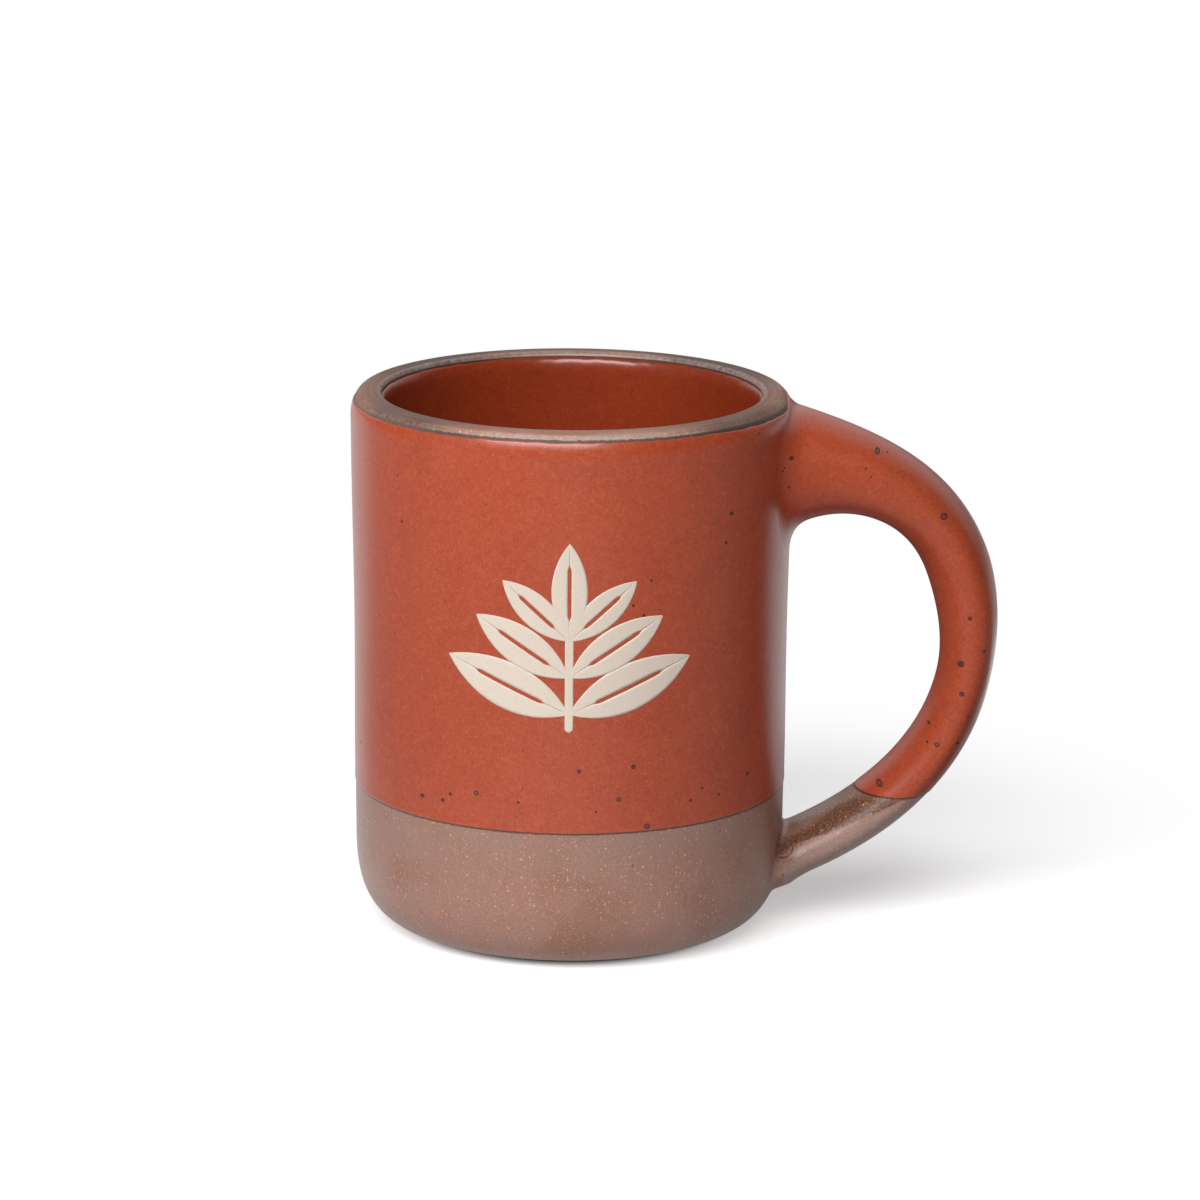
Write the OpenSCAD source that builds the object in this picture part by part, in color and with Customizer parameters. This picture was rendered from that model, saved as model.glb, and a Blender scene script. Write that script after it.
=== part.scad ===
// Stoneware mug: a thrown clay body, a pulled strap handle luted on with slip, a satin glaze
// that stops short of the rim and the foot, and a leaf sprig printed on the front.
// Millimetres, +Z up. The origin is on the body's axis at the table, the handle points along +X
// and the print faces -Y.

/* [Body] */
// Outside diameter over the glaze, just under the rim
rim_d = 86; // [80:1:92]
// How much smaller the diameter is at the table, before the foot rounds in
foot_taper = 2; // [0:0.5:4]
// Height from the table to the top of the rim
mug_h = 106.5; // [100:0.5:114]
// Thickness of the wall, glaze included
wall_t = 6.2; // [5.5:0.1:7]
// Thickness of the clay floor
floor_t = 7; // [5:0.5:10]
// Radius of the clay corner between wall and floor inside
corner_r = 10; // [6:1:14]
// How far the foot rounds in from the wall
foot_in = 13; // [10:0.5:14]
// Height at which the foot's rounding starts
foot_up = 19; // [16:0.5:22]
// Fullness of the foot's rounding: 2 is an ellipse, more is squarer
foot_full = 2.5; // [2.2:0.1:3]
// Width of the ring that stands on the table
foot_ring = 5; // [3:0.5:8]
// Depth of the hollow inside that ring
foot_hollow = 1.5; // [0.5:0.5:2.5]
// Radius of the rim's outer edge
lip_r = 3; // [2.5:0.1:3.4]
// Radius of the rim's inner edge
lip_in_r = 0.8; // [0.5:0.1:1.2]

/* [Glaze] */
// Thickness of the glaze
glaze_t = 0.4; // [0.2:0.05:0.5]
// Height of the dip line, below which body and handle are bare clay
dip_z = 29; // [24:1:34]
// Angle up the rim's outer edge at which the glaze is wiped off
lip_wipe = 52; // [30:2:70]
// Depth below the rim at which the inside glaze starts
liner_drop = 1.3; // [1.3:0.1:3]
// Length over which the glaze thins out at its edges
glaze_nose = 0.6; // [0.3:0.1:1]

/* [Handle] */
// Depth below the rim at which the handle's middle line leaves the wall
root_drop = 14.5; // [14.5:0.5:18]
// Rise of the handle as it leaves the wall, in degrees
root_rise = 7; // [0:1:10]
// Pull of the middle line along that rise
root_pull = 7; // [4:1:10]
// Distance of the outer bend's middle line from the wall
bend_reach = 33.5; // [28:0.5:40]
// Depth of the outer bend below the rim
bend_drop = 36.5; // [32:0.5:42]
// Lean of the middle line at the bend, in degrees from upright
bend_lean = 15; // [8:1:20]
// Pull of the middle line above the bend
bend_pull_up = 24; // [20:1:28]
// Pull of the middle line below the bend
bend_pull_down = 21.5; // [18:0.5:26]
// Height of the middle line's lower end, inside the wall
tail_z = 12; // [11.5:0.5:14]
// Climb of the handle as it leaves the wall at the foot, in degrees
tail_rise = 20; // [16:1:24]
// Pull of the middle line along that climb
tail_pull = 38; // [34:1:42]
// Thickness of the strap over its upper part
upper_t = 12.4; // [11:0.2:13]
// Thickness of the strap over its lower part
lower_t = 9.8; // [8.6:0.2:11]
// Distance along the strap at which it starts to thin from one to the other
thin_from = 44; // [30:1:50]
// Distance along the strap at which it has thinned
thin_to = 69; // [60:1:80]
// Extra thickness at the upper end
root_flare = 14.5; // [12:0.5:15]
// Length over which that extra thickness and width fade out
root_flare_len = 45; // [36:1:50]
// Extra thickness where the lower end meets the wall
tail_flare = 1.2; // [0:0.2:3]
// Length over which that fades out
tail_flare_len = 5; // [3:1:8]
// Width of the strap at its upper end
root_w = 20; // [16:0.5:21]
// Width of the strap at its lower end
tail_w = 19.5; // [13:0.5:20]
// Extra width at the upper end, and half of it at the lower
flare_w = 5; // [0:0.5:5]
// Fullness of the strap's section: 2 is an ellipse, more is squarer
strap_full = 2.1; // [2:0.1:3]
// Distance of the section's widest line from its outer face, as a share of its thickness
strap_belly = 0.42; // [0.36:0.02:0.5]
// Thickness of the slip in the two joints
slip_t = 0.6; // [0.3:0.1:1]

/* [Print] */
// Height of the lowest point of the sprig
sprig_z = 49; // [42:1:54]
// Length of the stem
stem_l = 25; // [20:1:28]
// Width of the stem
stem_w = 1.6; // [1:0.2:2.4]
// Number of pairs of leaves
leaf_pairs = 3; // [2:1:4]
// Length of the lowest leaves
leaf_l = 25; // [18:1:28]
// Width of the lowest leaves
leaf_w = 9; // [6:0.5:10]
// Lean of the lowest leaves, in degrees from upright
leaf_lean = 66; // [55:1:70]
// Thickness of the printed layer
print_t = 0.15; // [0.05:0.05:0.2]

/* [Hidden] */

clay_colour = "#94756a";
slip_colour = "#7d6157";
glaze_colour = "#ae4f33";
liner_colour = "#8a3a20";
print_colour = "#ebdbca";

$fn = 120;
foot_steps = 16;
lip_steps = 8;
corner_steps = 10;
spine_steps = 22;
strap_sides = 28;
// Rings of the strap, counted from the upper end, that reach through the wall there
root_rings = 9;
// Rings of the strap, counted from the lower end, that reach through the wall there
tail_rings = 6;
// Depth of the middle line's two ends inside the wall
root_depth = 4;
tail_depth = 5;
// Length of strap that runs on inside the wall behind its lower end
tail_bury = 5;
// Length of strap between its lower end and the face of the wall
tail_wall = 4;
// Larger than the mug, for cutting
big = 300;

// Share by which each pair of leaves is smaller than the pair below, and degrees by which it is steeper
leaf_shrink = 0.16;
leaf_close = 9;
// Size of the leaf at the tip, as a share of the lowest ones
tip_share = 0.76;
// Width of the midrib's bare line, and the shares of the leaf's length between which it runs
rib_w = 0.7;
rib_from = 0.2;
rib_to = 0.78;

// Outside of the clay wall, its bore, and the centres of its rounded edges
function wall_r(z) = rim_d / 2 - glaze_t - foot_taper / 2 * (1 - z / mug_h);
function bore_r(z) = wall_r(z) + 2 * glaze_t - wall_t;
foot_r = wall_r(foot_up) - foot_in;
lip_c = [wall_r(mug_h) - lip_r, mug_h - lip_r];
lip_in_c = [bore_r(mug_h) + lip_in_r, mug_h - lip_in_r];
corner_c = [bore_r(floor_t + corner_r) - corner_r, floor_t + corner_r];

function arc(centre, r, from, to, steps) =
    [for (i = [0:steps]) let (a = from + (to - from) * i / steps) centre + r * [cos(a), sin(a)]];

function reversed(v) = [for (i = [len(v) - 1:-1:0]) v[i]];

function clamped(x) = max(0, min(1, x));

// A quarter of a superellipse from the flat of the foot up to the wall, grown outwards by grow
function foot_curve(grow) = [for (i = [0:foot_steps]) let (a = 90 - 90 * i / foot_steps)
    [foot_r + grow + foot_in * cos(a) ^ (2 / foot_full), foot_up * (1 - sin(a) ^ (2 / foot_full))]];

// A shape turned about the axis, with its seam on the side away from the handle
module turned() {
    rotate(180)
        rotate_extrude()
            children();
}

// The clay's outside from table to rim, grown outwards by grow and filled to the axis
module outline_solid(grow) {
    turned()
        polygon(concat([[0, 0]], foot_curve(grow), arc(lip_c, lip_r + grow, 0, 90, lip_steps),
            [[0, mug_h + grow]]));
}

// Middle line of the strap as two curves that meet at the bend, then its buried lower end
root = [rim_d / 2 - root_depth, mug_h - root_drop];
bend = [rim_d / 2 + bend_reach, mug_h - bend_drop];
tail = [rim_d / 2 - tail_depth, tail_z];
bend_dir = [sin(bend_lean), -cos(bend_lean)];
tail_dir = [cos(tail_rise), sin(tail_rise)];
upper_curve = [root, root + root_pull * [cos(root_rise), sin(root_rise)],
    bend - bend_pull_up * bend_dir, bend];
lower_curve = [bend, bend + bend_pull_down * bend_dir, tail + tail_pull * tail_dir, tail];

function bezier(p, t) = (1 - t) ^ 3 * p[0] + 3 * t * (1 - t) ^ 2 * p[1]
    + 3 * t ^ 2 * (1 - t) * p[2] + t ^ 3 * p[3];

function heading(p, t) = let (d = (1 - t) ^ 2 * (p[1] - p[0]) + 2 * t * (1 - t) * (p[2] - p[1])
    + t ^ 2 * (p[3] - p[2])) d / norm(d);

spine = concat(
    [for (i = [0:spine_steps]) bezier(upper_curve, i / spine_steps)],
    [for (i = [1:spine_steps]) bezier(lower_curve, i / spine_steps)],
    [tail - tail_bury * tail_dir]);
headings = concat(
    [for (i = [0:spine_steps]) heading(upper_curve, i / spine_steps)],
    [for (i = [1:spine_steps]) heading(lower_curve, i / spine_steps)],
    [-tail_dir]);
last = len(spine) - 1;
run = [for (i = 0, s = 0; i <= last; s = s + (i < last ? norm(spine[i + 1] - spine[i]) : 0), i = i + 1) s];
tail_run = run[last] - tail_bury;

// Share of each end's flare at a distance s along the strap
function root_share(s) = clamped(1 - s / root_flare_len) ^ 3;
function tail_share(s) = clamped(1 - (tail_run - tail_wall - s) / tail_flare_len) ^ 2;

// Thickness and width of the strap at a distance s along it
function thinning(s) = let (x = clamped((s - thin_from) / (thin_to - thin_from))) x * x * (3 - 2 * x);
function strap_t(s) = upper_t + (lower_t - upper_t) * thinning(s)
    + root_flare * root_share(s) + tail_flare * tail_share(s);
function strap_w(s) = root_w + (tail_w - root_w) * clamped(s / tail_run)
    + flare_w * root_share(s) + flare_w / 2 * tail_share(s);

function bulge(c) = sign(c) * abs(c) ^ (2 / strap_full);

// Section of the strap across its middle line at ring i, an egg grown outwards by grow
function ring(i, grow) = [for (k = [0:strap_sides - 1]) let (
        a = 360 * k / strap_sides,
        t = strap_t(run[i]),
        half = t * (cos(a) > 0 ? strap_belly : 1 - strap_belly) + grow,
        across = bulge(sin(a)) * (strap_w(run[i]) / 2 + grow),
        out = t * (0.5 - strap_belly) + bulge(cos(a)) * half)
    [spine[i][0] - headings[i][1] * out, across, spine[i][1] + headings[i][0] * out]];

// Triangles between two neighbouring rings whose first points are a and b
function band(a, b) = [for (k = [0:strap_sides - 1]) let (n = (k + 1) % strap_sides)
    each [[a + k, b + n, b + k], [a + k, a + n, b + n]]];

function flipped(faces) = [for (f = faces) reversed(f)];

// The strap between two rings, closed at both ends
module strap(from, to, grow) {
    count = to - from;
    polyhedron(
        [for (i = [from:to]) each ring(i, grow)],
        concat(
            [[for (k = [strap_sides - 1:-1:0]) k]],
            [for (i = [0:count - 1]) each band(i * strap_sides, (i + 1) * strap_sides)],
            [[for (k = [0:strap_sides - 1]) count * strap_sides + k]]));
}

// A tube of glaze over the whole strap, open at both ends
module strap_coat() {
    inner = (last + 1) * strap_sides;
    polyhedron(
        concat([for (i = [0:last]) each ring(i, glaze_t)], [for (i = [0:last]) each ring(i, 0)]),
        concat(
            [for (i = [0:last - 1]) each band(i * strap_sides, (i + 1) * strap_sides)],
            [for (i = [0:last - 1])
                each flipped(band(inner + i * strap_sides, inner + (i + 1) * strap_sides))],
            flipped(band(0, inner)),
            band(last * strap_sides, inner + last * strap_sides)));
}

module above_dip_line() {
    translate([-big / 2, -big / 2, dip_z])
        cube(big);
}

// The thin layer of slip that lies on the wall
module slip_layer() {
    difference() {
        outline_solid(slip_t);
        outline_solid(0);
    }
}

module clay_body() {
    color(clay_colour)
        rotate_extrude()
            polygon(concat(
                [[0, foot_hollow], [foot_r - foot_ring - foot_hollow, foot_hollow], [foot_r - foot_ring, 0]],
                foot_curve(0),
                arc(lip_c, lip_r, 0, 90, lip_steps),
                arc(lip_in_c, lip_in_r, 90, 180, lip_steps),
                arc(corner_c, corner_r, 0, -90, corner_steps),
                [[0, floor_t]]));
}

module clay_handle() {
    color(clay_colour)
        difference() {
            strap(0, last, 0);
            outline_solid(slip_t);
        }
}

module upper_slip_joint() {
    color(slip_colour)
        intersection() {
            slip_layer();
            strap(0, root_rings, 0);
        }
}

module lower_slip_joint() {
    color(slip_colour)
        intersection() {
            slip_layer();
            strap(last - tail_rings, last, 0);
        }
}

module liner_glaze() {
    top = mug_h - liner_drop;
    color(liner_colour)
        rotate_extrude()
            polygon(concat(
                [[0, floor_t]],
                arc(corner_c, corner_r, -90, 0, corner_steps),
                [[bore_r(top), top],
                    [bore_r(top) - glaze_t / 2, top],
                    [bore_r(top - glaze_nose) - glaze_t, top - glaze_nose]],
                arc(corner_c, corner_r - glaze_t, 0, -90, corner_steps),
                [[0, floor_t + glaze_t]]));
}

module body_glaze() {
    nose_angle = glaze_nose / lip_r * 180 / PI;
    color(glaze_colour)
        difference() {
            turned()
                polygon(concat(
                    [[wall_r(dip_z), dip_z]],
                    arc(lip_c, lip_r, 0, lip_wipe, lip_steps),
                    [lip_c + (lip_r + glaze_t / 2) * [cos(lip_wipe), sin(lip_wipe)]],
                    arc(lip_c, lip_r + glaze_t, lip_wipe - nose_angle, 0, lip_steps),
                    [[wall_r(dip_z + glaze_nose) + glaze_t, dip_z + glaze_nose],
                        [wall_r(dip_z) + glaze_t / 2, dip_z]]));
            strap(0, root_rings, glaze_t);
        }
}

module handle_glaze() {
    color(glaze_colour)
        difference() {
            intersection() {
                strap_coat();
                above_dip_line();
            }
            outline_solid(0);
        }
}

// A pointed leaf that stands on its lower tip, with a bare line for its midrib
module leaf(length, width) {
    r = (length ^ 2 + width ^ 2) / (4 * width);
    difference() {
        translate([0, length / 2])
            intersection_for (side = [-1, 1])
                translate([side * (r - width / 2), 0])
                    circle(r);
        translate([-rib_w / 2, length * rib_from])
            square([rib_w, length * (rib_to - rib_from)]);
    }
}

// A stem with pairs of leaves that shrink and close up towards the tip
module sprig() {
    step = stem_l / (leaf_pairs + 0.5);
    translate([-stem_w / 2, 0])
        square([stem_w, stem_l - step / 2]);
    for (i = [0:leaf_pairs - 1], side = [-1, 1]) {
        share = 1 - leaf_shrink * i;
        translate([0, step * (i + 0.5)])
            rotate(-side * (leaf_lean - leaf_close * i))
                leaf(leaf_l * share, leaf_w * share);
    }
    translate([0, stem_l - step])
        leaf(leaf_l * tip_share, leaf_w * tip_share);
}

module front_print() {
    foot = sprig_z - leaf_w;
    top = sprig_z + stem_l + leaf_l;
    inside = glaze_t;
    outside = glaze_t + print_t;
    color(print_colour)
        intersection() {
            rotate_extrude()
                polygon([[wall_r(foot) + inside, foot], [wall_r(foot) + outside, foot],
                    [wall_r(top) + outside, top], [wall_r(top) + inside, top]]);
            translate([0, 0, sprig_z])
                rotate([90, 0, 0])
                    linear_extrude(rim_d)
                        sprig();
        }
}

clay_body();
clay_handle();
upper_slip_joint();
lower_slip_joint();
liner_glaze();
body_glaze();
handle_glaze();
front_print();
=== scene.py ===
"""Stoneware mug with a strap handle, a satin glaze that stops short of rim and foot, and a leaf print.

The classes hold their sizes in millimetres, as on a potter's drawing. Meshes, lights and the camera
are in metres. The mug stands on the origin with its handle along +X and its print towards -Y.
"""

import logging
import math
from dataclasses import dataclass
from enum import Enum
from typing import Any

import bpy
import numpy as np
from mathutils import Matrix, Vector


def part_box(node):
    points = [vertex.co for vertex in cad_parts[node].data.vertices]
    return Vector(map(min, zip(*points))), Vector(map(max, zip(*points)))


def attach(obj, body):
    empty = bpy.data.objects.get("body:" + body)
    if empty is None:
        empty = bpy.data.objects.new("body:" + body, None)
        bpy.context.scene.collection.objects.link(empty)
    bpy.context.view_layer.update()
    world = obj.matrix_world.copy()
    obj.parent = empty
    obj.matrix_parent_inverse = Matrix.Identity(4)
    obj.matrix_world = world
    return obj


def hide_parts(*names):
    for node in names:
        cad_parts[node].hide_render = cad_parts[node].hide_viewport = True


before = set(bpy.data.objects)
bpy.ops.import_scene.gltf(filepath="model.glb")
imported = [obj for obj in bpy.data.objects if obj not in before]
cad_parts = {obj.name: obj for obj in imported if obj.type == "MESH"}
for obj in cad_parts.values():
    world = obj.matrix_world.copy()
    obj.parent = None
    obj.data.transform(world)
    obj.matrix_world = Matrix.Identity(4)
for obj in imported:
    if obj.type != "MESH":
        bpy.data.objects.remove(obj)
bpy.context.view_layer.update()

LOG = logging.getLogger("mug")
MM = 0.001
Pair = tuple[float, float]
Point = tuple[float, float, float]
Colour = tuple[float, float, float]


class End(Enum):
    """The two ends of the strap handle."""

    UPPER = "upper"
    LOWER = "lower"


def smooth_step(x: np.ndarray) -> np.ndarray:
    """Returns 3x^2 - 2x^3 with x held between 0 and 1."""
    x = np.clip(x, 0, 1)
    return x * x * (3 - 2 * x)


def arc(centre: Pair, radius: float, start: float, stop: float, count: int) -> np.ndarray:
    """Points of a circular arc.

    Args:
        centre: Middle of the circle, as radius and height.
        radius: Radius of the circle.
        start: First angle in degrees, from the outward direction.
        stop: Last angle in degrees.
        count: Number of points.

    Returns:
        An array of count rows: centre + radius (cos angle, sin angle).
    """
    angle = np.radians(np.linspace(start, stop, count))
    return np.array(centre) + radius * np.stack([np.cos(angle), np.sin(angle)], axis=-1)


def line(start: Pair, stop: Pair, count: int) -> np.ndarray:
    """Points of a straight line without its two ends, as an array of count rows."""
    share = np.linspace(0, 1, count + 2)[1:-1, None]
    return (1 - share) * np.array(start) + share * np.array(stop)


def cubic(a: np.ndarray, b: np.ndarray, c: np.ndarray, d: np.ndarray, t: np.ndarray) -> np.ndarray:
    """Points (1-t)^3 a + 3t(1-t)^2 b + 3t^2(1-t) c + t^3 d of a cubic curve."""
    return (1 - t) ** 3 * a + 3 * t * (1 - t) ** 2 * b + 3 * t ** 2 * (1 - t) * c + t ** 3 * d


def unit(rows: np.ndarray) -> np.ndarray:
    """Rows of vectors, each scaled to a length of 1."""
    return rows / np.linalg.norm(rows, axis=1, keepdims=True)


def signed_power(x: np.ndarray, power: np.ndarray | float) -> np.ndarray:
    """A power of each number's size, with the number's sign."""
    return np.sign(x) * np.abs(x) ** power


def full_turn(columns: int) -> np.ndarray:
    """Angles of evenly spaced columns round a full turn, in radians."""
    return np.linspace(0, 2 * math.pi, columns, endpoint=False)


def about_axis(radius: np.ndarray, turn: np.ndarray, z: np.ndarray) -> np.ndarray:
    """Points (r cos turn, r sin turn, z) about the Z axis, for arrays that spread over each other."""
    return np.stack(np.broadcast_arrays(radius * np.cos(turn), radius * np.sin(turn), z), axis=-1)


def turned(profile: np.ndarray, columns: int) -> np.ndarray:
    """Turns a profile of radius and height about the Z axis.

    Args:
        profile: Rows of radius and height.
        columns: Number of points round the axis.

    Returns:
        A grid of points, one row for each row of the profile.
    """
    return about_axis(profile[:, :1], full_turn(columns), profile[:, 1:])


@dataclass
class Patch:
    """A closed surface as a grid of points that runs round its columns.

    Attributes:
        points: Rows by columns of points in millimetres.
        ring: Whether the last row joins the first; otherwise each end row closes on its middle point.
    """

    points: np.ndarray
    ring: bool = False

    def corners(self) -> np.ndarray:
        """All points as rows in metres, with the middle points of the end rows last."""
        flat = self.points.reshape(-1, 3)
        if not self.ring:
            flat = np.concatenate([flat, self.points[[0, -1]].mean(axis=1)])
        return flat * MM

    def faces(self) -> list[list[int]]:
        """Quads between neighbouring rows and a fan of triangles at each closed end, facing outwards."""
        rows, columns = self.points.shape[:2]
        index = np.arange(rows * columns).reshape(rows, columns)
        index = np.concatenate([index, index[:, :1]], axis=1)
        if self.ring:
            index = np.concatenate([index, index[:1]], axis=0)
        here, below = index[:-1], index[1:]
        quads = np.stack([here[:, :-1], here[:, 1:], below[:, 1:], below[:, :-1]], axis=-1).reshape(-1, 4)
        fans = np.empty((0, 3), int)
        if not self.ring:
            first = np.full(columns, rows * columns)
            fans = np.concatenate([
                np.stack([index[0, 1:], index[0, :-1], first], axis=-1),
                np.stack([index[-1, :-1], index[-1, 1:], first + 1], axis=-1)])
        triangles = np.concatenate([quads[:, [0, 1, 2]], quads[:, [0, 2, 3]], fans])
        a, b, c = np.moveaxis(self.corners()[triangles], 1, 0)
        if np.einsum("ij,ij->", a, np.cross(b, c)) < 0:
            quads, fans = quads[:, ::-1], fans[:, ::-1]
        return quads.tolist() + fans.tolist()


def add_object(name: str, data: bpy.types.ID) -> bpy.types.Object:
    """Puts a mesh, a lamp or a camera into the scene."""
    added = bpy.data.objects.new(name, data)
    bpy.context.scene.collection.objects.link(added)
    return added


def add_piece(name: str, node: str, patches: list[Patch], material: bpy.types.Material) -> None:
    """Puts one piece of the mug into the scene.

    Args:
        name: The piece's own name.
        node: The CAD node that it stands for.
        patches: Its closed surfaces, which become one mesh.
        material: Its finish.
    """
    counts = np.cumsum([0] + [len(patch.corners()) for patch in patches])
    points = np.concatenate([patch.corners() for patch in patches])
    faces = []
    for patch, start in zip(patches, counts):
        faces += [[i + int(start) for i in face] for face in patch.faces()]
    mesh = bpy.data.meshes.new(name)
    mesh.from_pydata(points, [], faces)
    mesh.shade_smooth()
    mesh.materials.append(material)
    piece = add_object(name, mesh)
    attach(piece, "root")
    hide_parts(node)
    LOG.info("%s stands for %s: %d faces", name, node, len(faces))


class Value:
    """A shader socket in Python arithmetic; every operation adds a Math node."""

    def __init__(self, nodes: "Nodes", socket: bpy.types.NodeSocket) -> None:
        """Wraps one output socket of a node tree."""
        self.nodes = nodes
        self.socket = socket

    def output(self, name: str) -> "Value":
        """Another output of the same node."""
        return Value(self.nodes, self.socket.node.outputs[name])

    def __add__(self, other: "Value | float") -> "Value":
        """The sum."""
        return self.nodes.maths("ADD", self, other)

    __radd__ = __add__

    def __sub__(self, other: "Value | float") -> "Value":
        """The difference."""
        return self.nodes.maths("SUBTRACT", self, other)

    def __rsub__(self, other: float) -> "Value":
        """The difference, from a number."""
        return self.nodes.maths("SUBTRACT", other, self)

    def __mul__(self, other: "Value | float") -> "Value":
        """The product."""
        return self.nodes.maths("MULTIPLY", self, other)

    __rmul__ = __mul__

    def __pow__(self, other: float) -> "Value":
        """The power."""
        return self.nodes.maths("POWER", self, other)

    def hypot(self, other: "Value") -> "Value":
        """The square root of the sum of both squares."""
        return (self * self + other * other) ** 0.5

    def larger(self, other: "Value | float") -> "Value":
        """The larger of the two."""
        return self.nodes.maths("MAXIMUM", self, other)

    def below(self, other: "Value | float") -> "Value":
        """1 where it is less than the other, and 0 elsewhere."""
        return self.nodes.maths("LESS_THAN", self, other)

    def ramp(self, low: "Value | float", high: "Value | float") -> "Value":
        """Rises smoothly from 0 at low to 1 at high, or falls where low is the larger."""
        return self.nodes.add(
            "ShaderNodeMapRange", {"interpolation_type": "SMOOTHSTEP"},
            {"Value": self, "From Min": low, "From Max": high})


@dataclass(frozen=True)
class Place:
    """Where a point of a piece lies, in millimetres.

    Attributes:
        point: The point.
        x: Its place to the right.
        y: Its place to the back.
        height: Its height.
        radius: Its distance from the mug's axis.
    """

    point: Value
    x: Value
    y: Value
    height: Value
    radius: Value


class Nodes:
    """A node tree that is written as expressions."""

    def __init__(self, tree: bpy.types.NodeTree) -> None:
        """Starts from an empty tree."""
        self.tree = tree
        tree.nodes.clear()

    def add(self, kind: str, settings: dict[str, Any] | None = None,
            sockets: dict[str | int, Any] | None = None, output: str | int = 0) -> Value:
        """Adds a node.

        Args:
            kind: The node's type.
            settings: Its properties, which are set first.
            sockets: Values or links of its inputs, by name or number.
            output: Name or number of the output that is wanted.

        Returns:
            That output.
        """
        node = self.tree.nodes.new(kind)
        for key, setting in (settings or {}).items():
            setattr(node, key, setting)
        for key, given in (sockets or {}).items():
            if isinstance(given, Value):
                self.tree.links.new(given.socket, node.inputs[key])
            else:
                node.inputs[key].default_value = given
        return Value(self, node.outputs[output]) if node.outputs else None

    def maths(self, operation: str, a: Value | float, b: Value | float) -> Value:
        """A Math node on one or two values."""
        return self.add("ShaderNodeMath", {"operation": operation}, {0: a, 1: b})

    def mix(self, a: Value | Colour, b: Value | Colour, share: Value | float) -> Value:
        """Colour a where share is 0, colour b where it is 1."""
        a, b = (c if isinstance(c, Value) else (*c, 1.0) for c in (a, b))
        return self.add("ShaderNodeMix", {"data_type": "RGBA"}, {0: share, 6: a, 7: b}, 2)

    def scaled(self, vector: Value, factor: Value | float) -> Value:
        """A vector or a colour times a number."""
        return self.add("ShaderNodeVectorMath", {"operation": "SCALE"}, {0: vector, "Scale": factor})

    def split(self, vector: Value) -> tuple[Value, Value, Value]:
        """The three parts of a vector."""
        parts = self.add("ShaderNodeSeparateXYZ", sockets={0: vector})
        return parts, parts.output("Y"), parts.output("Z")

    def place(self) -> Place:
        """Where the point on the piece lies."""
        point = self.scaled(self.add("ShaderNodeTexCoord", output="Object"), 1 / MM)
        x, y, height = self.split(point)
        return Place(point, x, y, height, x.hypot(y))

    def distance(self, vector: Value, centre: Point) -> Value:
        """Distance from a point."""
        return self.add("ShaderNodeVectorMath", {"operation": "DISTANCE"}, {0: vector, 1: centre}, "Value")

    def noise(self, vector: Value, size: float, detail: float = 2.0, curl: float = 0.0) -> Value:
        """Soft random patches, from 0 to 1, about as large as size in millimetres."""
        return self.add("ShaderNodeTexNoise", None, {
            "Vector": vector, "Scale": 1 / size, "Detail": detail, "Distortion": curl})

    def threads(self, vector: Value, size: float) -> Value:
        """Thin curly threads, on which it is 0, and off which it grows."""
        return self.maths("ABSOLUTE", self.noise(vector, size, 2, 2.5) - 0.5, 0.0)

    def specks(self, vector: Value, apart: float, small: float, large: float,
               share: Value | float, seed: float = 0.0) -> Value:
        """Round specks strewn through the material.

        One lies in each cell of a Voronoi pattern, with a random radius. A share of the cells has one.

        Args:
            vector: The point in millimetres.
            apart: Distance between the cells' middles.
            small: Least radius.
            large: Largest radius.
            share: Share of the cells that have a speck.
            seed: Moves the pattern.

        Returns:
            1 in the specks and 0 between them, with a soft edge.
        """
        moved = self.add("ShaderNodeVectorMath", {"operation": "ADD"}, {0: vector, 1: (seed, seed, seed)})
        cells = self.add("ShaderNodeTexVoronoi", None, {"Vector": moved, "Scale": 1 / apart})
        chance, luck, _ = self.split(cells.output("Color"))
        radius = small + (large - small) * chance * chance
        away = cells * apart
        return (1 - (away - radius * 0.6).ramp(0.0, radius * 0.4)) * luck.below(share)

    def spot(self, vector: Value, centre: Point, radius: float) -> Value:
        """1 inside a ball round a point in millimetres, and 0 outside it, with a soft edge."""
        return self.distance(vector, centre).ramp(radius, radius * 0.75)

    def bump(self, height: Value, depth: float) -> Value:
        """A normal for a height from 0 to 1 that stands depth millimetres high."""
        return self.add("ShaderNodeBump", None, {"Strength": 1.0, "Distance": depth * MM, "Height": height})


def shader_of(nodes: Nodes, sockets: dict[str, Any]) -> None:
    """Ends a material's tree with a Principled shader of the given sockets."""
    shader = nodes.add("ShaderNodeBsdfPrincipled", None, sockets)
    nodes.add("ShaderNodeOutputMaterial", None, {"Surface": shader})


def material_nodes(name: str) -> tuple[bpy.types.Material, Nodes]:
    """A new material and its empty node tree."""
    material = bpy.data.materials.new(name)
    material.use_nodes = True
    return material, Nodes(material.node_tree)


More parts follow.
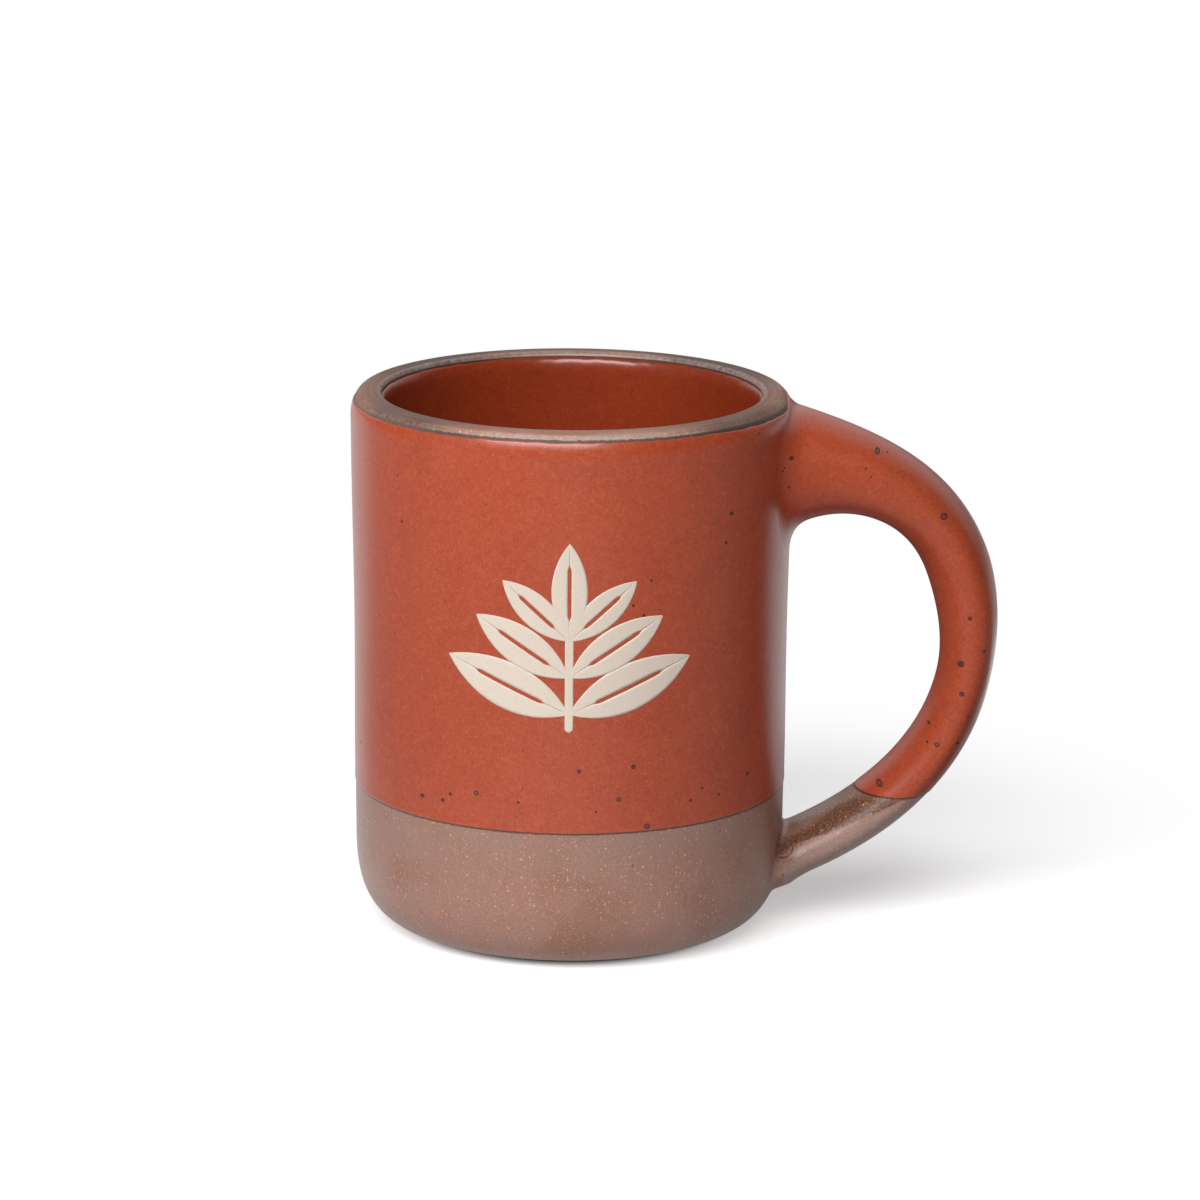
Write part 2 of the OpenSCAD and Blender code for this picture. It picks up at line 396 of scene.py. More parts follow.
@dataclass(frozen=True)
class BodyForm:
    """The thrown body: sizes in millimetres, and the curves that follow from them.

    Attributes:
        height: Height of the rim.
        rim_r: Outside radius over the glaze just under the rim.
        taper: How much smaller the radius is at the table.
        wall: Thickness of the wall, glaze included.
        floor: Thickness of the clay floor.
        corner_r: Radius of the corner between wall and floor inside.
        foot_in: How far the foot rounds in.
        foot_up: Height at which the foot's rounding starts.
        foot_full: Exponent of that rounding.
        foot_lift: Height of its lower end over the table.
        foot_ring: Width of the ring on the table.
        foot_hollow: Depth of the hollow inside the ring.
        foot_edge: Bevel of the ring's edges.
        lip_r: Width of the rim's outer edge, which is a quarter of an ellipse.
        lip_h: Height of that edge.
        lip_in_r: Radius of the rim's inner edge.
        waist: How far the wall draws in half way up, as a hand leaves it.
        waist_span: Heights between which it draws in.
        glaze: Thickness of the glaze, as it shows at its edges.
        dip: Height of the dip line.
        dip_waver: How far that line wavers.
        bead_up: Height of the glaze's low bead over it.
        bead_w: Width of the bead.
        bead_h: Height of the bead over the glaze.
        wipe: Angle round the rim's ellipse, in degrees, where the glaze ends in front and behind.
        wipe_side: How much smaller it is at the two sides.
        rim_waver: How far the glaze's edges at the rim waver.
        lip_pace: Length of the rim's outer edge to a radian, where the glaze ends.
        liner: Thickness of the inside glaze.
        liner_drop: Depth below the rim where it starts.
        liner_nose: Length over which it thickens from there.
        nose: Length over which the glaze rounds off at its edges.
        sunk: Depth to which a coat's hidden side lies in the clay.
        core_r: Radius of the smallest ring round the axis, which closes on its middle.
        columns: Points round the axis.
    """

    height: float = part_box("clay_body")[1][2] / MM
    rim_r: float = 43.0
    taper: float = 1.0
    wall: float = 6.2
    floor: float = 7.0
    corner_r: float = 10.0
    foot_in: float = 13.0
    foot_up: float = 19.0
    foot_full: float = 2.7
    foot_lift: float = 0.8
    foot_ring: float = 5.0
    foot_hollow: float = 1.5
    foot_edge: float = 0.25
    lip_r: float = 2.5
    lip_h: float = 5.0
    lip_in_r: float = 1.0
    waist: float = 0.25
    waist_span: Pair = (29.0, 95.0)
    glaze: float = 0.12
    dip: float = 29.0
    dip_waver: float = 0.1
    bead_up: float = 0.7
    bead_w: float = 0.6
    bead_h: float = 0.05
    wipe: float = 44.0
    wipe_side: float = 6.0
    rim_waver: float = 0.12
    lip_pace: float = 3.5
    liner: float = 0.9
    liner_drop: float = 1.15
    liner_nose: float = 2.8
    nose: float = 0.3
    sunk: float = 0.06
    core_r: float = 1.0
    columns: int = 360

    def wall_r(self, z: np.ndarray | float) -> np.ndarray | float:
        """Radius of the clay wall at a height: it grows evenly to the rim, less a waist of sine squared."""
        low, high = self.waist_span
        drawn_in = self.waist * np.sin(math.pi * np.clip((z - low) / (high - low), 0, 1)) ** 2
        return self.rim_r - self.glaze - self.taper * (1 - z / self.height) - drawn_in

    def bore_r(self, z: np.ndarray | float) -> np.ndarray | float:
        """Radius of the clay's inside at a height, which grows evenly to the rim."""
        return self.rim_r + self.glaze - self.wall - self.taper * (1 - z / self.height)

    def wall_line(self, low: float, high: float, count: int) -> np.ndarray:
        """Points of the wall's profile between two heights, without its two ends."""
        z = np.linspace(low, high, count + 2)[1:-1]
        return np.stack([self.wall_r(z), z], axis=-1)

    @property
    def foot_r(self) -> float:
        """Outer radius of the ring on the table."""
        return self.wall_r(self.foot_up) - self.foot_in

    @property
    def lip_c(self) -> Pair:
        """Centre of the rim's outer edge."""
        return self.wall_r(self.height) - self.lip_r, self.height - self.lip_h

    def lip(self, angle: np.ndarray, grow: np.ndarray | float) -> np.ndarray:
        """Points of the rim's outer edge at angles round its ellipse, and grow outside it."""
        centre_r, centre_z = self.lip_c
        return np.stack([centre_r + (self.lip_r + grow) * np.cos(angle),
                         centre_z + (self.lip_h + grow) * np.sin(angle)], axis=-1)

    @property
    def lip_in_c(self) -> Pair:
        """Centre of the rim's inner edge."""
        return self.bore_r(self.height) + self.lip_in_r, self.height - self.lip_in_r

    @property
    def corner_c(self) -> Pair:
        """Centre of the inside corner between wall and floor."""
        z = self.floor + self.corner_r
        return self.bore_r(z) - self.corner_r, z

    def outside_r(self, z: np.ndarray, grow: float) -> np.ndarray:
        """Radius of the outside at a height.

        The foot is a quarter of a superellipse, the wall nearly a cone and the lip a quarter of an ellipse.

        Args:
            z: Heights.
            grow: Distance by which the surface lies outside the clay.

        Returns:
            The radii.
        """
        left = np.clip((self.foot_up - z) / (self.foot_up - self.foot_lift), 0, 1)
        foot = self.foot_r + self.foot_in * (1 - left ** self.foot_full) ** (1 / self.foot_full)
        centre_r, centre_z = self.lip_c
        rise = (z - centre_z) / (self.lip_h + grow)
        lip = centre_r + (self.lip_r + grow) * np.sqrt(np.clip(1 - rise ** 2, 0, None))
        above = np.where(z > centre_z, lip, self.wall_r(z) + grow)
        return np.where(z < self.foot_up, foot + grow, above)

    def on_wall(self, turn: np.ndarray, z: np.ndarray, grow: float) -> np.ndarray:
        """Points of the outside at angles turn about the axis and heights z."""
        return about_axis(self.outside_r(z, grow), turn, z)

    def clay_profile(self) -> np.ndarray:
        """The clay's profile from the middle of the underside, over the rim, to the middle of the floor."""
        start, edge = self.core_r, self.foot_edge
        ring_in = self.foot_r - self.foot_ring
        hollow_r = ring_in - self.foot_hollow
        angle = np.radians(np.linspace(90, 0, 40))
        power = 2 / self.foot_full
        foot = np.stack([self.foot_r + self.foot_in * np.cos(angle) ** power,
                         self.foot_up - (self.foot_up - self.foot_lift) * np.sin(angle) ** power], axis=-1)
        lip_z, bore_z = self.lip_c[1], self.lip_in_c[1]
        return np.concatenate([
            [(start, self.foot_hollow)],
            line((start, self.foot_hollow), (hollow_r, self.foot_hollow), 6),
            [(hollow_r - edge, self.foot_hollow), (hollow_r + edge, self.foot_hollow - edge),
             (ring_in - edge, edge), (ring_in + edge, 0)],
            line((ring_in + edge, 0), (self.foot_r - edge, 0), 4),
            [(self.foot_r - edge, 0), (self.foot_r, edge)],
            foot,
            self.wall_line(self.foot_up, lip_z, 50),
            self.lip(np.linspace(0, math.pi / 2, 24), 0),
            arc(self.lip_in_c, self.lip_in_r, 90, 180, 8),
            line((self.bore_r(bore_z), bore_z), (self.bore_r(self.corner_c[1]), self.corner_c[1]), 40),
            arc(self.corner_c, self.corner_r, 0, -90, 16),
            line((self.corner_c[0], self.floor), (start, self.floor), 8),
            [(start, self.floor)]])

    def rounding(self, count: int) -> tuple[np.ndarray, np.ndarray]:
        """A glaze edge in section, a quarter of an ellipse: distances from the edge, and thicknesses."""
        angle = np.linspace(0, math.pi / 2, count)
        return self.nose * (1 - np.cos(angle)), self.glaze * np.sin(angle)

    def ragged(self, size: float, seed: float) -> np.ndarray:
        """For each column an uneven edge of about the given size: a sum of sines of ever finer pitch."""
        pitch = np.array([3, 7, 13, 29, 47, 71])[:, None]
        share = np.array([0.4, 0.3, 0.25, 0.25, 0.3, 0.25])[:, None]
        return size * (share * np.sin(pitch * full_turn(self.columns) + seed * pitch)).sum(axis=0)

    def coat_points(self) -> np.ndarray:
        """Grid of the outside coat: up its face, round its edge at the rim, and down inside the clay.

        The dip line wavers a little, which fades out above it, and a low bead stands just above it. The
        edge at the rim is ragged: each column ends at its own angle round the lip.
        """
        turn = full_turn(self.columns)
        all_columns = np.zeros((1, self.columns, 1))
        away, thick = self.rounding(8)
        fine_z = self.dip + 6
        fade = 4.0
        lip_rows = 16
        lip_z = self.lip_c[1]
        z = np.concatenate([self.dip + away, self.wall_line(self.dip + self.nose, fine_z, 12)[:, 1],
                            self.wall_line(fine_z, lip_z, 50)[:, 1]])
        cover = np.interp(z - self.dip, away, thick)
        bead = self.bead_h * np.exp(-((z - self.dip - self.bead_up) / self.bead_w) ** 2)
        cover = cover + bead * (cover / self.glaze)
        face = np.stack([self.wall_r(z) + cover, z], axis=-1)[:, None] + all_columns
        face[..., 1] += self.ragged(self.dip_waver, 1.0) * np.exp(-(face[..., 1] - self.dip) / fade)
        wipe = np.radians(self.wipe - self.wipe_side * np.cos(turn) ** 2)
        wipe = wipe + self.ragged(self.rim_waver, 2.0) / self.lip_pace
        edge = wipe - away[::-1, None] / self.lip_pace
        angle = np.concatenate([np.linspace(0, 1, lip_rows)[:, None] * edge[0], edge[1:]])
        cover = np.concatenate([np.full(lip_rows, self.glaze), thick[-2::-1]])[:, None]
        short_angle, short_z = 5.0, 0.2
        within = np.radians(np.linspace(self.wipe - self.wipe_side - short_angle, 0, 8))
        hidden = np.concatenate([
            self.lip(within, -self.sunk),
            self.wall_line(lip_z, self.dip + short_z, 30) - (self.sunk, 0)])
        profile = np.concatenate([face, self.lip(angle, cover), hidden[:, None] + all_columns])
        return about_axis(profile[..., 0], turn, profile[..., 1])

    def liner_points(self) -> np.ndarray:
        """Grid of the inside coat: its face from the floor up, its edge, and back down inside the clay.

        The edge is a quarter of an ellipse, which is ragged: each column ends at its own height.
        """
        angle = np.linspace(math.pi / 2, 0, 12)
        start = self.core_r
        corner_r, corner_z = self.corner_c
        top = self.height - self.liner_drop
        edge_z = top - self.liner_nose * (1 - np.cos(angle))
        edge = np.stack([self.bore_r(edge_z) - self.liner * np.sin(angle), edge_z], axis=-1)
        face_z = self.floor + self.liner
        hidden_z = self.floor - self.sunk
        short_z, fade = 0.1, 2.0
        points = turned(np.concatenate([
            [(start, face_z)],
            line((start, face_z), (corner_r, face_z), 8),
            arc(self.corner_c, self.corner_r - self.liner, -90, 0, 16),
            line((self.bore_r(corner_z) - self.liner, corner_z), tuple(edge[0]), 50),
            edge,
            [(self.bore_r(z) + self.sunk, z) for z in np.linspace(top - short_z, corner_z, 8)],
            arc(self.corner_c, self.corner_r + self.sunk, 0, -90, 8)[1:],
            [(start, hidden_z)]]), self.columns)
        near_edge = smooth_step((points[..., 2] - top + fade) / fade)
        points[..., 2] += self.ragged(self.rim_waver, 3.0) * near_edge
        return points


@dataclass(frozen=True)
class StrapForm:
    """The pulled strap handle: its middle line, section and joints, in millimetres.

    The middle line is two cubic curves from the root to the bend and from the bend to the tail, and
    then a straight end inside the wall. The section across it is egg-shaped: widest nearer to its outer
    face, and fuller on its inner side along the level arm.

    Attributes:
        root: Upper end of the middle line, as X and Z.
        root_rise: Its climb there in degrees.
        root_pull: Length of the curve's handle there.
        bend: The outer bend.
        bend_lean: Lean of the line there in degrees from upright.
        bend_pulls: Lengths of the curves' handles above and below it.
        tail: Lower end of the middle line.
        tail_rise: Its climb there in degrees.
        tail_pull: Length of the curve's handle there.
        tail_bury: Length of the straight end inside the wall.
        upper_t: Thickness over the upper part.
        lower_t: Thickness over the lower part.
        thinning: Distances along the line between which it thins.
        root_flare: Extra thickness at the root.
        root_flare_len: Length over which it fades.
        tail_flare: Extra thickness at the tail.
        tail_flare_len: Length over which it fades.
        tail_wall: Length of line between the tail and the face of the wall.
        root_w: Width at the root.
        tail_w: Width at the tail.
        flare_w: Extra width at the ends.
        full: Exponent of the section's two halves.
        arm_full: Exponent of the inner half along the arm.
        arm_end: Distances along the line between which that falls to the other.
        bellies: Distance of its widest line from the outer face, above and below, as shares of its
            thickness.
        level: How much thinner the outer side is where the strap runs level.
        upper_slip: Sizes of the upper slip's rounding on top, at the sides and below.
        lower_slip: Sizes of the lower slip's rounding.
        joint_coat: Sizes of the glaze's rounding over the upper slip.
        slip_t: Depth to which the slip goes into the clay.
        joint_len: Length of line at each end in which it leaves the wall.
        dip: Height of the dip line on the strap.
        dip_waver: How far that line wavers.
        columns: Points round the section.
    """

    root: Pair = (39.0, 92.0)
    root_rise: float = 7.0
    root_pull: float = 7.0
    bend: Pair = (76.3, 70.0)
    bend_lean: float = 15.0
    bend_pulls: Pair = (24.0, 21.5)
    tail: Pair = (38.0, 11.8)
    tail_rise: float = 20.0
    tail_pull: float = 38.0
    tail_bury: float = 5.0
    upper_t: float = 12.4
    lower_t: float = 10.2
    thinning: Pair = (44.0, 69.0)
    root_flare: float = 14.5
    root_flare_len: float = 45.0
    tail_flare: float = 1.2
    tail_flare_len: float = 5.0
    tail_wall: float = 4.0
    root_w: float = 20.0
    tail_w: float = 19.5
    flare_w: float = 8.0
    full: float = 2.05
    arm_full: float = 2.5
    arm_end: Pair = (25.0, 45.0)
    bellies: Pair = (0.40, 0.45)
    level: float = 0.15
    upper_slip: Point = (1.0, 3.4, 4.4)
    lower_slip: Point = (0.5, 1.6, 1.6)
    joint_coat: Point = (1.2, 4.0, 5.0)
    slip_t: float = 0.4
    joint_len: float = 25.0
    dip: float = 27.3
    dip_waver: float = 0.1
    columns: int = 144

    def middle_line(self) -> tuple[np.ndarray, np.ndarray]:
        """Distances along the middle line, and rows of its X, Z and heading."""
        t = np.linspace(0, 1, 400)[:, None]
        root, bend, tail = (np.array(p) for p in (self.root, self.bend, self.tail))
        rise, lean, climb = (math.radians(a) for a in (self.root_rise, self.bend_lean, self.tail_rise))
        down = np.array([math.sin(lean), -math.cos(lean)])
        out = np.array([math.cos(climb), math.sin(climb)])
        start = np.array([math.cos(rise), math.sin(rise)])
        points = np.concatenate([
            cubic(root, root + self.root_pull * start, bend - self.bend_pulls[0] * down, bend, t)[:-1],
            cubic(bend, bend + self.bend_pulls[1] * down, tail + self.tail_pull * out, tail, t),
            tail - np.linspace(0, 1, 20)[1:, None] * self.tail_bury * out])
        run = np.concatenate([[0], np.cumsum(np.linalg.norm(np.diff(points, axis=0), axis=1))])
        heading = unit(np.gradient(points, run, axis=0))
        return run, np.concatenate([points, heading], axis=1)

    def length(self) -> float:
        """Length of the middle line, its buried end included."""
        return float(self.middle_line()[0][-1])

    def surface(self, run: np.ndarray, angle: np.ndarray, grow: np.ndarray | float) -> np.ndarray:
        """Points of the strap's surface.

        At a distance along the middle line the section is two halves of superellipses, across by the
        sine of the angle and out from the widest line by its cosine, each to the power 2 / exponent.

        Args:
            run: Distances along the middle line.
            angle: Angles round the section in radians, 0 on the strap's outer face.
            grow: Distance by which the surface lies outside the clay.

        Returns:
            The points.
        """
        along, rows = self.middle_line()
        x, z, heading_x, heading_z = (np.interp(run, along, rows[:, i]) for i in range(4))
        tail_run = along[-1] - self.tail_bury
        root_share = np.clip(1 - run / self.root_flare_len, 0, 1) ** 3
        tail_share = np.clip(1 - (tail_run - self.tail_wall - run) / self.tail_flare_len, 0, 1) ** 2
        thin = smooth_step((run - self.thinning[0]) / (self.thinning[1] - self.thinning[0]))
        thick = self.upper_t + (self.lower_t - self.upper_t) * thin
        thick = thick + self.root_flare * root_share + self.tail_flare * tail_share
        wide = self.root_w + (self.tail_w - self.root_w) * np.clip(run / tail_run, 0, 1)
        wide = wide + self.flare_w * (root_share + tail_share / 2)
        inner_full = np.interp(run, self.arm_end, (self.arm_full, self.full))
        outer = np.cos(angle) > 0
        power = 2 / np.where(outer, self.full, inner_full)
        across = signed_power(np.sin(angle), power) * (wide / 2 + grow)
        belly = self.bellies[0] + (self.bellies[1] - self.bellies[0]) * thin
        widest = thick * (0.5 - belly) - self.level * heading_x ** 2
        half = thick * np.where(outer, belly, 1 - belly) + grow
        out = widest + signed_power(np.cos(angle), power) * half
        return np.stack([x - heading_z * out, across, z + heading_x * out], axis=-1)

    def crossing(self, runs: np.ndarray, outside: np.ndarray) -> np.ndarray:
        """Where each column first comes outside.

        Args:
            runs: Distances along the middle line, from inside to outside.
            outside: For each of these and each column, how far outside the point is; below 0 is inside.

        Returns:
            For each column the distance at which that passes 0, between two neighbouring rows.
        """
        after = np.argmax(outside > 0, axis=0)
        column = np.arange(outside.shape[1])
        low, high = outside[after - 1, column], outside[after, column]
        return runs[after - 1] + (runs[after] - runs[after - 1]) * low / (low - high)

    def fillet(self, body: BodyForm, end: End, reach: np.ndarray, grow: float,
               count: int) -> tuple[np.ndarray, np.ndarray]:
        """The rounded-in joint between the strap and the wall.

        In each column a cubic curve leaves the wall along the wall, at reach outside the place where
        strap and wall cross, and arrives on the strap along the strap, at reach from that place.

        Args:
            body: The body it joins.
            end: Which end of the strap.
            reach: Size of the rounding for each column.
            grow: Distance by which both surfaces lie outside the clay.
            count: Number of rows.

        Returns:
            The grid of points from the wall to the strap, and the distance along the middle line at
            which it ends in each column.
        """
        # A step for directions, a depth under the face, the width of a rim in the wall, the curve's pull.
        step, skin, skirt, roundness = 0.05, 0.01, 0.7, 0.62
        angle = full_turn(self.columns)
        away = 1.0 if end is End.UPPER else -1.0
        first = 0.0 if end is End.UPPER else self.length()
        runs = np.linspace(first, first + away * self.joint_len, 500)
        points = self.surface(runs[:, None], angle, grow)
        outside = np.hypot(points[..., 0], points[..., 1]) - body.outside_r(points[..., 2], grow)
        cross_run = self.crossing(runs, outside)
        cross = self.surface(cross_run, angle, grow)
        stop_run = cross_run + away * reach
        stop = self.surface(stop_run, angle, grow)
        back = unit(self.surface(stop_run - away * step, angle, grow) - stop)
        turn = np.arctan2(cross[:, 1], cross[:, 0])
        place = np.stack([turn * body.rim_r, cross[:, 2] - cross[:, 2].mean()], axis=-1)
        spread = unit(place)

        def wall_point(distance: np.ndarray, depth: float) -> np.ndarray:
            """Points under the wall's face at a distance from the crossing, away from the strap."""
            moved = turn + distance * spread[:, 0] / body.rim_r
            return body.on_wall(moved, cross[:, 2] + distance * spread[:, 1], grow - depth)

        start = wall_point(reach, skin)
        along = unit(wall_point(reach - step, skin) - start)
        pull = roundness * reach[:, None]
        t = np.linspace(0, 1, count)[:, None, None]
        curve = cubic(start, start + pull * along, stop + pull * back, stop, t)
        return np.concatenate([wall_point(reach + skirt, 5 * skin)[None], curve]), stop_run

    def reach(self, sizes: Point) -> np.ndarray:
        """Size of a joint's rounding for each column, from its sizes on top, at the sides and below."""
        top, side, under = sizes
        up = np.cos(full_turn(self.columns))
        return side + (top - side) * np.clip(up, 0, 1) ** 2 + (under - side) * np.clip(-up, 0, 1) ** 2

    def clay_points(self) -> np.ndarray:
        """Grid of the bare strap from end to end."""
        runs = np.linspace(1.0, self.length(), 170)
        return self.surface(runs[:, None], full_turn(self.columns), 0)

    def slip_points(self, body: BodyForm, end: End) -> np.ndarray:
        """Grid of the slip that fills one joint: its rounded face, then back inside the clay."""
        reach = self.reach(self.upper_slip if end is End.UPPER else self.lower_slip)
        face, stop_run = self.fillet(body, end, reach, 0, 14)
        away = -1.0 if end is End.UPPER else 1.0
        steps = np.array([-0.8, 0.0, 3.0, 5.0])[:, None]
        depths = self.slip_t * np.array([0.1, 1.0, 1.0, 1.0])[:, None]
        within = self.surface(stop_run + away * steps, full_turn(self.columns), -depths)
        return np.concatenate([face, within])

    def coat_points(self, body: BodyForm) -> np.ndarray:
        """Grid of the strap's glaze: from the wall to the dip line, and back inside the clay."""
        angle = full_turn(self.columns)
        joint, start_run = self.fillet(body, End.UPPER, self.reach(self.joint_coat), body.glaze, 16)
        below_dip, above_dip = self.length() - 4.0, 60.0
        runs = np.linspace(below_dip, above_dip, 700)
        height = self.surface(runs[:, None], angle, body.glaze)[..., 2] - self.dip
        stop_run = self.crossing(runs, height) + self.dip_waver * np.sin(3 * angle + 1)
        away, thick = body.rounding(8)
        tail = stop_run - away[::-1, None]
        share = np.linspace(0, 1, 150)[1:-1, None]
        runs = np.concatenate([(1 - share) * start_run + share * tail[0], tail])
        cover = np.concatenate([np.full(len(share), body.glaze), thick[::-1]])[:, None]
        face = self.surface(runs, angle, cover)
        share = np.linspace(1, 0, 40)[:, None]
        hidden = self.surface((1 - share) * start_run + share * stop_run, angle, -body.sunk)
        root_run, root_depth = 2.0, 1.0
        within = self.surface(np.full((1, self.columns), root_run), angle, -root_depth)
        return np.concatenate([joint, face, hidden, within])


@dataclass(frozen=True)
class SprigForm:
    """The printed sprig: a stem with pairs of leaves that shrink and close up towards the tip.

    Attributes:
        foot: Height of the stem's lower end.
        stem_l: Length of the stem.
        stem_w: Width of the stem.
        pairs: Number of pairs of leaves.
        leaf_l: Length of the lowest leaves.
        leaf_w: Width of the lowest leaves.
        lean: Lean of the lowest leaves in degrees from upright.
        close: Degrees by which each pair is steeper than the one below.
        shrink: Share by which each pair is smaller than the one below.
        tip: Size of the leaf at the tip, as a share of the lowest ones.
        rib_w: Width of the midrib's bare line.
        rib: Shares of the leaf's length between which that line runs.
        thick: Height of the print over the glaze.
        layer: Extra height from leaf to leaf, so that no two lie in one plane.
    """

    foot: float = 49.0
    stem_l: float = 25.0
    stem_w: float = 1.6
    pairs: int = 3
    leaf_l: float = 25.0
    leaf_w: float = 9.0
    lean: float = 66.0
    close: float = 9.0
    shrink: float = 0.16
    tip: float = 0.76
    rib_w: float = 0.7
    rib: Pair = (0.2, 0.78)
    thick: float = 0.04
    layer: float = 0.003

    def on_glaze(self, body: BodyForm, flat: np.ndarray, lift: np.ndarray | float) -> np.ndarray:
        """Lays flat points of X and height on the front of the glaze, straight back along Y."""
        x, z = flat[..., 0], flat[..., 1]
        radius = body.wall_r(z) + body.glaze + lift
        return np.stack([x, -np.sqrt(radius ** 2 - x ** 2), z], axis=-1)

    def strip(self, body: BodyForm, foot: float, lean: float, middle: np.ndarray, inner: np.ndarray,
              outer: np.ndarray, lift: float) -> Patch:
        """A printed strip between two edges.

        Args:
            body: The body that carries it.
            foot: Height of its lower end, on the stem.
            lean: Its lean in degrees, to the right of upright.
            middle: Distances along its middle line.
            inner: Distance of its one edge from that line, for each of these.
            outer: Distance of its other edge.
            lift: Extra height, so that strips that cross don't lie in one plane.

        Returns:
            Its closed surface: the face from edge to edge, then back under the glaze.
        """
        count, low_edge, buried = 9, 0.4, -0.1
        share = np.linspace(0, 1, count)
        share = np.concatenate([share, share[::-1]])
        column = np.arange(2 * count)
        height = np.where(np.isin(column, (0, count - 1)), low_edge, 1.0) * (self.thick + lift)
        raised = np.where(column < count, height, buried)
        across = inner[:, None] + (outer - inner)[:, None] * share
        turn = math.radians(lean)
        x = across * math.cos(turn) + middle[:, None] * math.sin(turn)
        z = foot - across * math.sin(turn) + middle[:, None] * math.cos(turn)
        return Patch(self.on_glaze(body, np.stack([x, z], axis=-1), raised))

    def leaf(self, body: BodyForm, foot: float, lean: float, size: float, lift: float) -> list[Patch]:
        """The two blades of a leaf between two arcs, with its midrib's bare line between them.

        A blade's edge lies on a circle of radius (length^2 + width^2) / (4 width).
        """
        rib_end, rib_most, blunt = 1.2, 0.6, 0.03
        length, width = self.leaf_l * size, self.leaf_w * size
        radius = (length ** 2 + width ** 2) / (4 * width)
        middle = length * smooth_step(np.linspace(blunt, 1 - blunt, 60))
        half = np.sqrt(radius ** 2 - (middle - length / 2) ** 2) - (radius - width / 2)
        ends = length * np.array(self.rib)
        bare = smooth_step((middle - ends[0]) / rib_end) * smooth_step((ends[1] - middle) / rib_end)
        bare = np.minimum(self.rib_w / 2 * bare, half * rib_most)
        return [self.strip(body, foot, lean, middle, side * bare, side * half, lift) for side in (-1, 1)]

    def patches(self, body: BodyForm) -> list[Patch]:
        """All strips of the print."""
        step = self.stem_l / (self.pairs + 0.5)
        middle = np.linspace(0, self.stem_l - step / 2, 40)
        round_r = self.stem_w / 2
        half = round_r * np.sqrt(np.clip(1 - np.clip(1 - middle / round_r, 0, 1) ** 2, 0.02, 1))
        patches = [self.strip(body, self.foot, 0, middle, -half, half, 0)]
        for pair in range(self.pairs):
            size = 1 - self.shrink * pair
            lean = self.lean - self.close * pair
            height = self.foot + step * (pair + 0.5)
            for side in (-1, 1):
                lift = self.layer * (2 * pair + side + 2)
                patches += self.leaf(body, height, side * lean, size, lift)
        return patches + self.leaf(body, self.foot + self.stem_l - step, 0, self.tip, 10 * self.layer)


@dataclass(frozen=True)
class Spot:
    """A dark spot on the glaze where the front shows it, in millimetres.

    Attributes:
        x: Its place across.
        z: Its height.
        radius: Its radius.
        ringed: Whether its middle is paler than its rim.
    """

    x: float
    z: float
    radius: float
    ringed: bool = False


